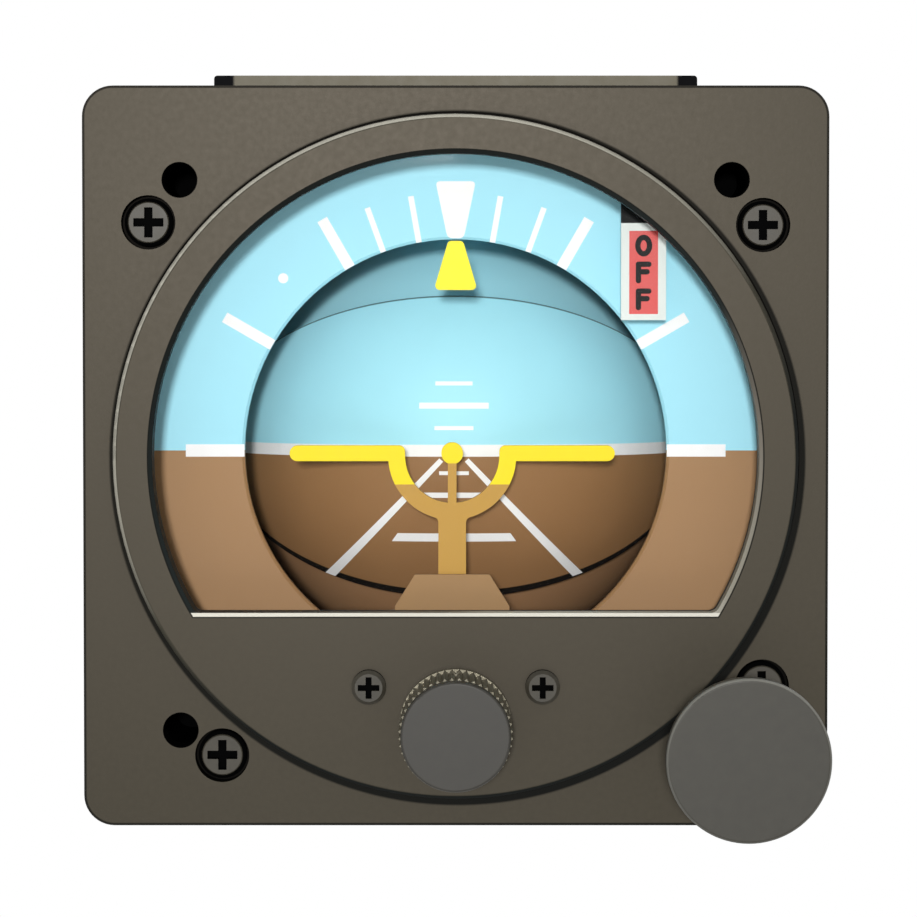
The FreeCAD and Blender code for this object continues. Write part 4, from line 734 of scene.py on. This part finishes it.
def shield_lining(made):
    """The shields' inner laps, which show when the ball tilts its edge into view."""
    front_radius = BALL_RADIUS - LAP_DEPTH
    for name, shield, finish, slot_name, side in LAPS:
        shape = bmesh.new()
        borders = []
        for radius in (front_radius, front_radius - LAP_WALL):
            rows = lap_rows(shape, radius, side)
            for a, b in zip(rows, rows[1:]):
                for j in range(LAP_COLUMNS):
                    shape.faces.new((a[j], a[j + 1], b[j + 1], b[j]))
            right = [row[-1] for row in rows[1:-1]]
            left = [row[0] for row in rows[-2:0:-1]]
            borders.append(rows[0] + right + rows[-1][::-1] + left)
        front, back = borders
        for j in range(len(front)):
            k = (j + 1) % len(front)
            shape.faces.new((front[j], front[k], back[k], back[j]))
        new_piece(name, shape, made[finish], nodes[shield]["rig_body"])


def caging_spring(made):
    """The return spring, which the collar presses together as the caging knob is pulled; here a copy with a mesh
    of its own, riding on the case, which keeps its shape.
    """
    spring = new_piece("return_spring", welded_copy("cage_spring"), made["steel"], "case")
    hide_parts("cage_spring")
    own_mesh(spring)


# ------------------------------------------------------------------ bank scale, by geometry nodes
DIAL_OPENING = mm(24.8)     # the bank marks start at this radius
BANK_MARKS = (              # degrees from the top, length and width in millimetres
    (10, 5.5, 0.67), (20, 5.5, 0.67), (30, 6.5, 1.29), (60, 6.5, 1.29),
)
HORIZON_BAR = (90, 6.9, 1.45)
ZERO_MARK = ((-2.37, 31.6), (-0.95, 24.9), (0.95, 24.9), (2.37, 31.6))     # corners in X and Z millimetres
ZERO_MARK_ROUND = 0.6
BANK_DOT = (45, 28.6, 0.6)  # degrees from the top, distance from the roll axis, and radius, in millimetres


def bar_ring_tree():
    """Bars that stand out from a circle in X and Z: each point holds its turn, length and width."""
    tree = bpy.data.node_groups.new("bar_ring", "GeometryNodeTree")
    tree.interface.new_socket("Points", in_out="INPUT", socket_type="NodeSocketGeometry")
    for label in ("Radius", "Front", "Thickness"):
        tree.interface.new_socket(label, in_out="INPUT", socket_type="NodeSocketFloat")
    tree.interface.new_socket("Ink", in_out="INPUT", socket_type="NodeSocketMaterial")
    tree.interface.new_socket("Bars", in_out="OUTPUT", socket_type="NodeSocketGeometry")
    given = add_node(tree, "NodeGroupInput")
    turn = add_node(tree, "GeometryNodeInputNamedAttribute", {"data_type": "FLOAT", "Name": "turn"})
    reach = add_node(tree, "GeometryNodeInputNamedAttribute", {"data_type": "FLOAT", "Name": "reach"})
    width = add_node(tree, "GeometryNodeInputNamedAttribute", {"data_type": "FLOAT", "Name": "width"})
    half = add_node(tree, "ShaderNodeMath", {"operation": "MULTIPLY", 1: 0.5}, {0: reach.outputs[0]})
    middle = add_node(tree, "ShaderNodeMath", {"operation": "ADD"},
                      {0: half.outputs[0], 1: given.outputs["Radius"]})
    sine = add_node(tree, "ShaderNodeMath", {"operation": "SINE"}, {0: turn.outputs[0]})
    cosine = add_node(tree, "ShaderNodeMath", {"operation": "COSINE"}, {0: turn.outputs[0]})
    x = add_node(tree, "ShaderNodeMath", {"operation": "MULTIPLY"},
                 {0: sine.outputs[0], 1: middle.outputs[0]})
    z = add_node(tree, "ShaderNodeMath", {"operation": "MULTIPLY"},
                 {0: cosine.outputs[0], 1: middle.outputs[0]})
    place = add_node(tree, "ShaderNodeCombineXYZ", links={"X": x.outputs[0], "Y": given.outputs["Front"],
                                                          "Z": z.outputs[0]})
    moved = add_node(tree, "GeometryNodeSetPosition", links={"Geometry": given.outputs["Points"],
                                                             "Position": place.outputs[0]})
    bar = add_node(tree, "GeometryNodeMeshCube", {"Size": (1.0, 1.0, 1.0)})
    angle = add_node(tree, "ShaderNodeCombineXYZ", links={"Y": turn.outputs[0]})
    size = add_node(tree, "ShaderNodeCombineXYZ", links={"X": width.outputs[0], "Y": given.outputs["Thickness"],
                                                         "Z": reach.outputs[0]})
    copies = add_node(tree, "GeometryNodeInstanceOnPoints", links={
        "Points": moved.outputs[0], "Instance": bar.outputs["Mesh"], "Rotation": angle.outputs[0],
        "Scale": size.outputs[0]})
    real = add_node(tree, "GeometryNodeRealizeInstances", links={"Geometry": copies.outputs[0]})
    inked = add_node(tree, "GeometryNodeSetMaterial", links={"Geometry": real.outputs[0],
                                                             "Material": given.outputs["Ink"]})
    add_node(tree, "NodeGroupOutput", links={"Bars": inked.outputs[0]})
    return tree


def bars_on_circle(name, marks, radius, front, ink, body):
    """Bake a ring of painted bars to a plain mesh."""
    points = bpy.data.meshes.new(name + "_points")
    points.from_pydata([(0, 0, 0)] * len(marks), [], [])
    for label, values in (("turn", [math.radians(angle) for angle, length, width in marks]),
                          ("reach", [mm(length) for angle, length, width in marks]),
                          ("width", [mm(width) for angle, length, width in marks])):
        attribute = points.attributes.new(label, "FLOAT", "POINT")
        attribute.data.foreach_set("value", values)
    carrier = bpy.data.objects.new(name + "_carrier", points)
    bpy.context.scene.collection.objects.link(carrier)
    modifier = carrier.modifiers.new("bars", "NODES")
    modifier.node_group = bar_ring_tree()
    sockets = {item.name: item.identifier for item in modifier.node_group.interface.items_tree
               if item.in_out == "INPUT"}
    modifier[sockets["Radius"]] = radius
    modifier[sockets["Front"]] = front
    modifier[sockets["Thickness"]] = PAINT
    modifier[sockets["Ink"]] = ink
    bpy.context.view_layer.update()
    evaluated = carrier.evaluated_get(bpy.context.evaluated_depsgraph_get())
    baked = bpy.data.meshes.new_from_object(evaluated)
    bpy.data.objects.remove(carrier)
    shape = bmesh.new()
    shape.from_mesh(baked)
    new_piece(name, shape, ink, body)


def dial_marks(made):
    """Bank marks both sides of the top, the two horizon bars, the zero mark and the 45 degree dots."""
    marks = [(side * angle, length, width) for angle, length, width in BANK_MARKS + (HORIZON_BAR,)
             for side in (-1, 1)]
    bars_on_circle("bank_marks", marks, DIAL_OPENING, DIAL_FRONT - PAINT / 2, made["white"], "roll_gimbal")
    shape = bmesh.new()
    add_prism(shape, rounded_outline(ZERO_MARK, ZERO_MARK_ROUND), DIAL_FRONT - PAINT, DIAL_FRONT)
    new_piece("zero_bank_mark", shape, made["white"], "roll_gimbal")
    shape = bmesh.new()
    angle, reach, radius = BANK_DOT
    for side in (-1, 1):
        x = side * reach * math.sin(math.radians(angle))
        z = reach * math.cos(math.radians(angle))
        add_prism(shape, disc_outline(x, z, radius), DIAL_FRONT - PAINT, DIAL_FRONT)
    new_piece("bank_dots", shape, made["white"], "roll_gimbal")


# ------------------------------------------------------------------ marks on the ball
HORIZON_LINE = (26.2, 1.4)  # half length and width in millimetres
PITCH_MARKS = (             # degrees above the horizon; half length, width and flare of the lower edge
    (5, 2.3, 0.47, 0.0), (10, 4.1, 0.7, 0.0), (15, 2.2, 0.47, 0.0),
    (-5, 1.75, 0.45, 0.0), (-10, 3.5, 0.63, 0.0), (-20, 6.7, 1.0, 0.7),
)
CONVERGING = ((1.5, -1.1), (15.0, -16.9), 0.6, 1.6)     # start, end, and the width at each
EDGE_MARGIN = 0.35          # the converging lines stop this short of the ball's lower edge


def on_ball(x, z, lift):
    """The point that stands this far off the ball's face in front of a place in X and Z, in metres."""
    radius = BALL_RADIUS + lift
    x = x + BALL_TRIM_X
    z = z + BALL_TRIM_Z - BALL_SAG * x * x
    depth = math.sqrt(max(radius ** 2 - x ** 2 - z ** 2, 0.0))
    return (x, BALL_AXIS_Y - depth, z)


def add_ball_patch(shape, lower, upper, along=16, across=2):
    """A thin closed patch on the ball between two edges, each a start and an end in X and Z millimetres."""
    layers = []
    for lift in (PAINT, 0.0):
        rows = []
        for j in range(across + 1):
            row = []
            for i in range(along + 1):
                t = i / along
                s = j / across
                low = Vector(lower[0]).lerp(Vector(lower[1]), t)
                high = Vector(upper[0]).lerp(Vector(upper[1]), t)
                point = low.lerp(high, s)
                row.append(shape.verts.new(on_ball(mm(point.x), mm(point.y), lift)))
            rows.append(row)
        layers.append(rows)
    for k, rows in enumerate(layers):
        for j in range(across):
            for i in range(along):
                ring = [rows[j][i], rows[j][i + 1], rows[j + 1][i + 1], rows[j + 1][i]]
                shape.faces.new(ring if k == 0 else list(reversed(ring)))
    top, bottom = layers
    edge = [(0, i) for i in range(along)] + [(j, along) for j in range(across)]
    edge += [(across, i) for i in range(along, 0, -1)] + [(j, 0) for j in range(across, 0, -1)]
    for k, (j, i) in enumerate(edge):
        nj, ni = edge[(k + 1) % len(edge)]
        shape.faces.new((top[nj][ni], top[j][i], bottom[j][i], bottom[nj][ni]))


def add_level_mark(shape, z, half, width, flare=0.0, along=16):
    """A level mark at a height on the ball, all in millimetres; its lower edge may reach farther."""
    low = z - width / 2
    high = z + width / 2
    add_ball_patch(shape, ((-half - flare, low), (half + flare, low)), ((-half, high), (half, high)), along)


def ball_marks(made):
    """Horizon line, pitch marks and the two converging ground lines."""
    shape = bmesh.new()
    add_level_mark(shape, 0.0, *HORIZON_LINE, along=40)
    for angle, half, width, flare in PITCH_MARKS:
        add_level_mark(shape, BALL_RADIUS * 1000 * math.sin(math.radians(angle)), half, width, flare)
    start, end, thin, thick = CONVERGING
    way = (Vector(end) - Vector(start)).normalized()
    side = Vector((-way.y, way.x))
    for mirror in (-1, 1):
        edges = []
        for sign in (-1, 1):
            points = [Vector(start) + side * sign * thin / 2, Vector(end) + side * sign * thick / 2]
            edges.append([(mirror * p.x, clipped(p.x, p.y)) for p in points])
        add_ball_patch(shape, edges[0], edges[1], along=30)
    new_piece("pitch_marks", shape, made["white"], "ball")


def clipped(x, z):
    """A height on the ball in millimetres, kept above its lower edge."""
    edge = -math.sqrt((BALL_RADIUS * 1000) ** 2 - x ** 2) * math.sin(BALL_EDGE)
    return max(z, edge + EDGE_MARGIN)


# ------------------------------------------------------------------ the flag's face, with lettering of strokes
# Sizes on the flag are in millimetres, apart from LAYER.
FLAG_MIDDLE = flag_high.x * 1000 - 2.6      # X of the panel's middle
FLAG_FOOT = flag_low.z * 1000
PANEL_HALF_WIDTH = 1.66
PANEL_HEIGHTS = (0.7, 10.3)                 # from the flag's foot
PANEL_ROUND = 0.05
LETTER_HEIGHT = 1.9
LETTER_WIDEN = 1.05
LETTER_STROKE = 0.62
TOP_LETTER = 8.6                            # height of its middle from the flag's foot
LETTER_STEP = 3.1
STROKE_FACES = 8                            # faces round the end of a stroke
LAYER = mm(0.0003)                          # crossing strokes differ in height by steps of this
LAYERS = 101


def arc_points(x, z, rx, rz, start, end, faces=12):
    """Points along an elliptical arc, angles in degrees."""
    steps = [math.radians(start + (end - start) * i / faces) for i in range(faces + 1)]
    return [(x + rx * math.cos(t), z + rz * math.sin(t)) for t in steps]


LETTERS = {                 # strokes in a box 1 high, centred on its middle
    "O": [arc_points(0, 0, 0.34, 0.5, 90, 450, 20)],
    "F": [[(0.3, 0.5), (-0.3, 0.5), (-0.3, -0.5)], [(-0.3, 0.04), (0.2, 0.04)]],
}


def add_stroke(shape, points, half, y_front, y_back):
    """A painted stroke with round ends and joints, from capsules in X and Z metres."""
    for a, b in zip(points, points[1:]):
        lift = LAYER * (len(shape.faces) % LAYERS)
        way = math.atan2(b[1] - a[1], b[0] - a[0])
        outline = []
        for centre, turn in ((b, -math.pi / 2), (a, math.pi / 2)):
            for i in range(STROKE_FACES + 1):
                t = way + turn + math.pi * i / STROKE_FACES
                outline.append((centre[0] + half * math.cos(t), centre[1] + half * math.sin(t)))
        add_prism(shape, outline, y_front - lift, y_back)


def add_letter(shape, letter, x, z, y_front, y_back):
    """One letter centred at a place in X and Z millimetres."""
    for line in LETTERS[letter]:
        placed = [(mm(x + u * LETTER_HEIGHT * LETTER_WIDEN), mm(z + v * LETTER_HEIGHT)) for u, v in line]
        add_stroke(shape, placed, mm(LETTER_STROKE / 2), y_front, y_back)


def flag_face(made):
    """Red panel and stacked letters on the flag."""
    left = FLAG_MIDDLE - PANEL_HALF_WIDTH
    right = FLAG_MIDDLE + PANEL_HALF_WIDTH
    low, high = [FLAG_FOOT + height for height in PANEL_HEIGHTS]
    panel = bmesh.new()
    add_prism(panel, rounded_outline([(left, low), (right, low), (right, high), (left, high)], PANEL_ROUND),
              FLAG_FRONT - PAINT, FLAG_FRONT)
    new_piece("flag_red_panel", panel, made["red"], "flag")
    letters = bmesh.new()
    for i, letter in enumerate("OFF"):
        add_letter(letters, letter, FLAG_MIDDLE, FLAG_FOOT + TOP_LETTER - LETTER_STEP * i,
                   FLAG_FRONT - 2 * PAINT, FLAG_FRONT - PAINT)
    new_piece("flag_letters", letters, made["letter"], "flag")


# ------------------------------------------------------------------ camera, stage and light
CAMERA_DISTANCE = mm(300)
CAMERA_HEIGHT = mm(20.7)
VIEW_WIDTH = mm(104.45)     # what the picture spans in the flange's plane
CAMERA_TILT = math.radians(1.4)
VIEW_SHIFT = (0.0031, -0.0028)
ROOM_LIGHT = 0.41           # strength of the white surround as a lamp
FLOOR_SIZE = 6.0
FLOOR_Z = mm(-150)
SWEEP = (0.2, 0.38, 0.78)   # where the floor turns to pure white, and its share of white before that
LAMPS = (                   # name, place and size in metres, power in watts
    ("key_lamp", (-0.03, -0.8, 0.1), 0.06, 4.6),
    ("back_lamp", (0.3, 0.9, 0.8), 0.7, 4.0),
)


def set_camera():
    """Camera a little above the roll axis, nearly square to the panel."""
    data = bpy.data.cameras.new("camera")
    data.sensor_width = 36.0
    data.lens = data.sensor_width * CAMERA_DISTANCE / VIEW_WIDTH
    data.clip_start = 0.01
    data.shift_x = VIEW_SHIFT[0]
    data.shift_y = (math.tan(CAMERA_TILT) * CAMERA_DISTANCE - CAMERA_HEIGHT) / VIEW_WIDTH + VIEW_SHIFT[1]
    camera = bpy.data.objects.new("camera", data)
    camera.location = (0.0, -CAMERA_DISTANCE, CAMERA_HEIGHT)
    camera.rotation_euler = (math.radians(90) - CAMERA_TILT, 0.0, 0.0)
    bpy.context.scene.collection.objects.link(camera)
    bpy.context.scene.camera = camera


def add_lamp(name, place, size, power):
    """A square soft lamp that faces the middle of the bezel."""
    data = bpy.data.lights.new(name, "AREA")
    data.size = size
    data.energy = power
    lamp = bpy.data.objects.new(name, data)
    lamp.location = place
    lamp.rotation_euler = (-Vector(place)).to_track_quat("-Z", "Y").to_euler()
    bpy.context.scene.collection.objects.link(lamp)


def set_stage():
    """Pale floor, a white surround for what looks past the object, and soft studio lamps."""
    scene = bpy.context.scene
    scene.view_settings.view_transform = "Standard"
    world = bpy.data.worlds.new("studio")
    scene.world = world
    world.use_nodes = True
    tree = world.node_tree
    tree.nodes.clear()
    light = add_node(tree, "ShaderNodeBackground", {"Color": colour("#ffffff"), "Strength": ROOM_LIGHT})
    white = add_node(tree, "ShaderNodeBackground", {"Color": colour("#ffffff"), "Strength": 1.0})
    both = add_node(tree, "ShaderNodeMixShader",
                    links={0: seen_directly(tree), 1: light.outputs[0], 2: white.outputs[0]})
    add_node(tree, "ShaderNodeOutputWorld", links={"Surface": both.outputs[0]})
    bpy.ops.mesh.primitive_plane_add(size=FLOOR_SIZE, location=(0, 0, FLOOR_Z))
    floor = bpy.context.active_object
    floor.name = "floor"
    floor.data.materials.append(floor_material())
    for lamp in LAMPS:
        add_lamp(*lamp)


def seen_directly(tree):
    """1 for a ray from the camera, or one that a gloss or a glass sends on."""
    path = add_node(tree, "ShaderNodeLightPath")
    first = add_node(tree, "ShaderNodeMath", {"operation": "MAXIMUM"},
                     {0: path.outputs["Is Camera Ray"], 1: path.outputs["Is Transmission Ray"]})
    both = add_node(tree, "ShaderNodeMath", {"operation": "MAXIMUM"},
                    {0: first.outputs[0], 1: path.outputs["Is Glossy Ray"]})
    return both.outputs[0]


def floor_material():
    """Matt white paper: it keeps the object's shadow, and past the object it reads as a white sweep."""
    material = bpy.data.materials.new("white_paper")
    material.use_nodes = True
    tree = material.node_tree
    tree.nodes.clear()
    place = add_node(tree, "ShaderNodeTexCoord")
    fibre = add_node(tree, "ShaderNodeTexNoise", {"Scale": 40.0}, {"Vector": place.outputs["Object"]})
    tone = add_node(tree, "ShaderNodeMix", {"data_type": "RGBA", 6: colour("#e9e9e8"), 7: colour("#f1f1f0")},
                    {0: fibre.outputs["Fac"]})
    diffuse = add_node(tree, "ShaderNodeBsdfDiffuse", links={"Color": tone.outputs[2]})
    away = add_node(tree, "ShaderNodeVectorMath", {"operation": "LENGTH"}, {0: place.outputs["Object"]})
    near, far, share = SWEEP
    sweep = add_node(tree, "ShaderNodeMapRange", {"From Min": near, "From Max": far, "To Min": share},
                     {"Value": away.outputs["Value"]})
    glow = add_node(tree, "ShaderNodeEmission", {"Color": colour("#ffffff"), "Strength": 1.0})
    shown = add_node(tree, "ShaderNodeMath", {"operation": "MULTIPLY"},
                     {0: seen_directly(tree), 1: sweep.outputs["Result"]})
    surface = add_node(tree, "ShaderNodeMixShader", links={0: shown.outputs[0], 1: diffuse.outputs[0],
                                                           2: glow.outputs[0]})
    add_node(tree, "ShaderNodeOutputMaterial", links={"Surface": surface.outputs[0]})
    return material


# ------------------------------------------------------------------ build
set_camera()
set_stage()
materials = make_materials()
dress_nodes(materials)
miniature_airplane(materials)
dial_marks(materials)
ball_marks(materials)
flag_face(materials)
caging_spring(materials)
shield_lining(materials)
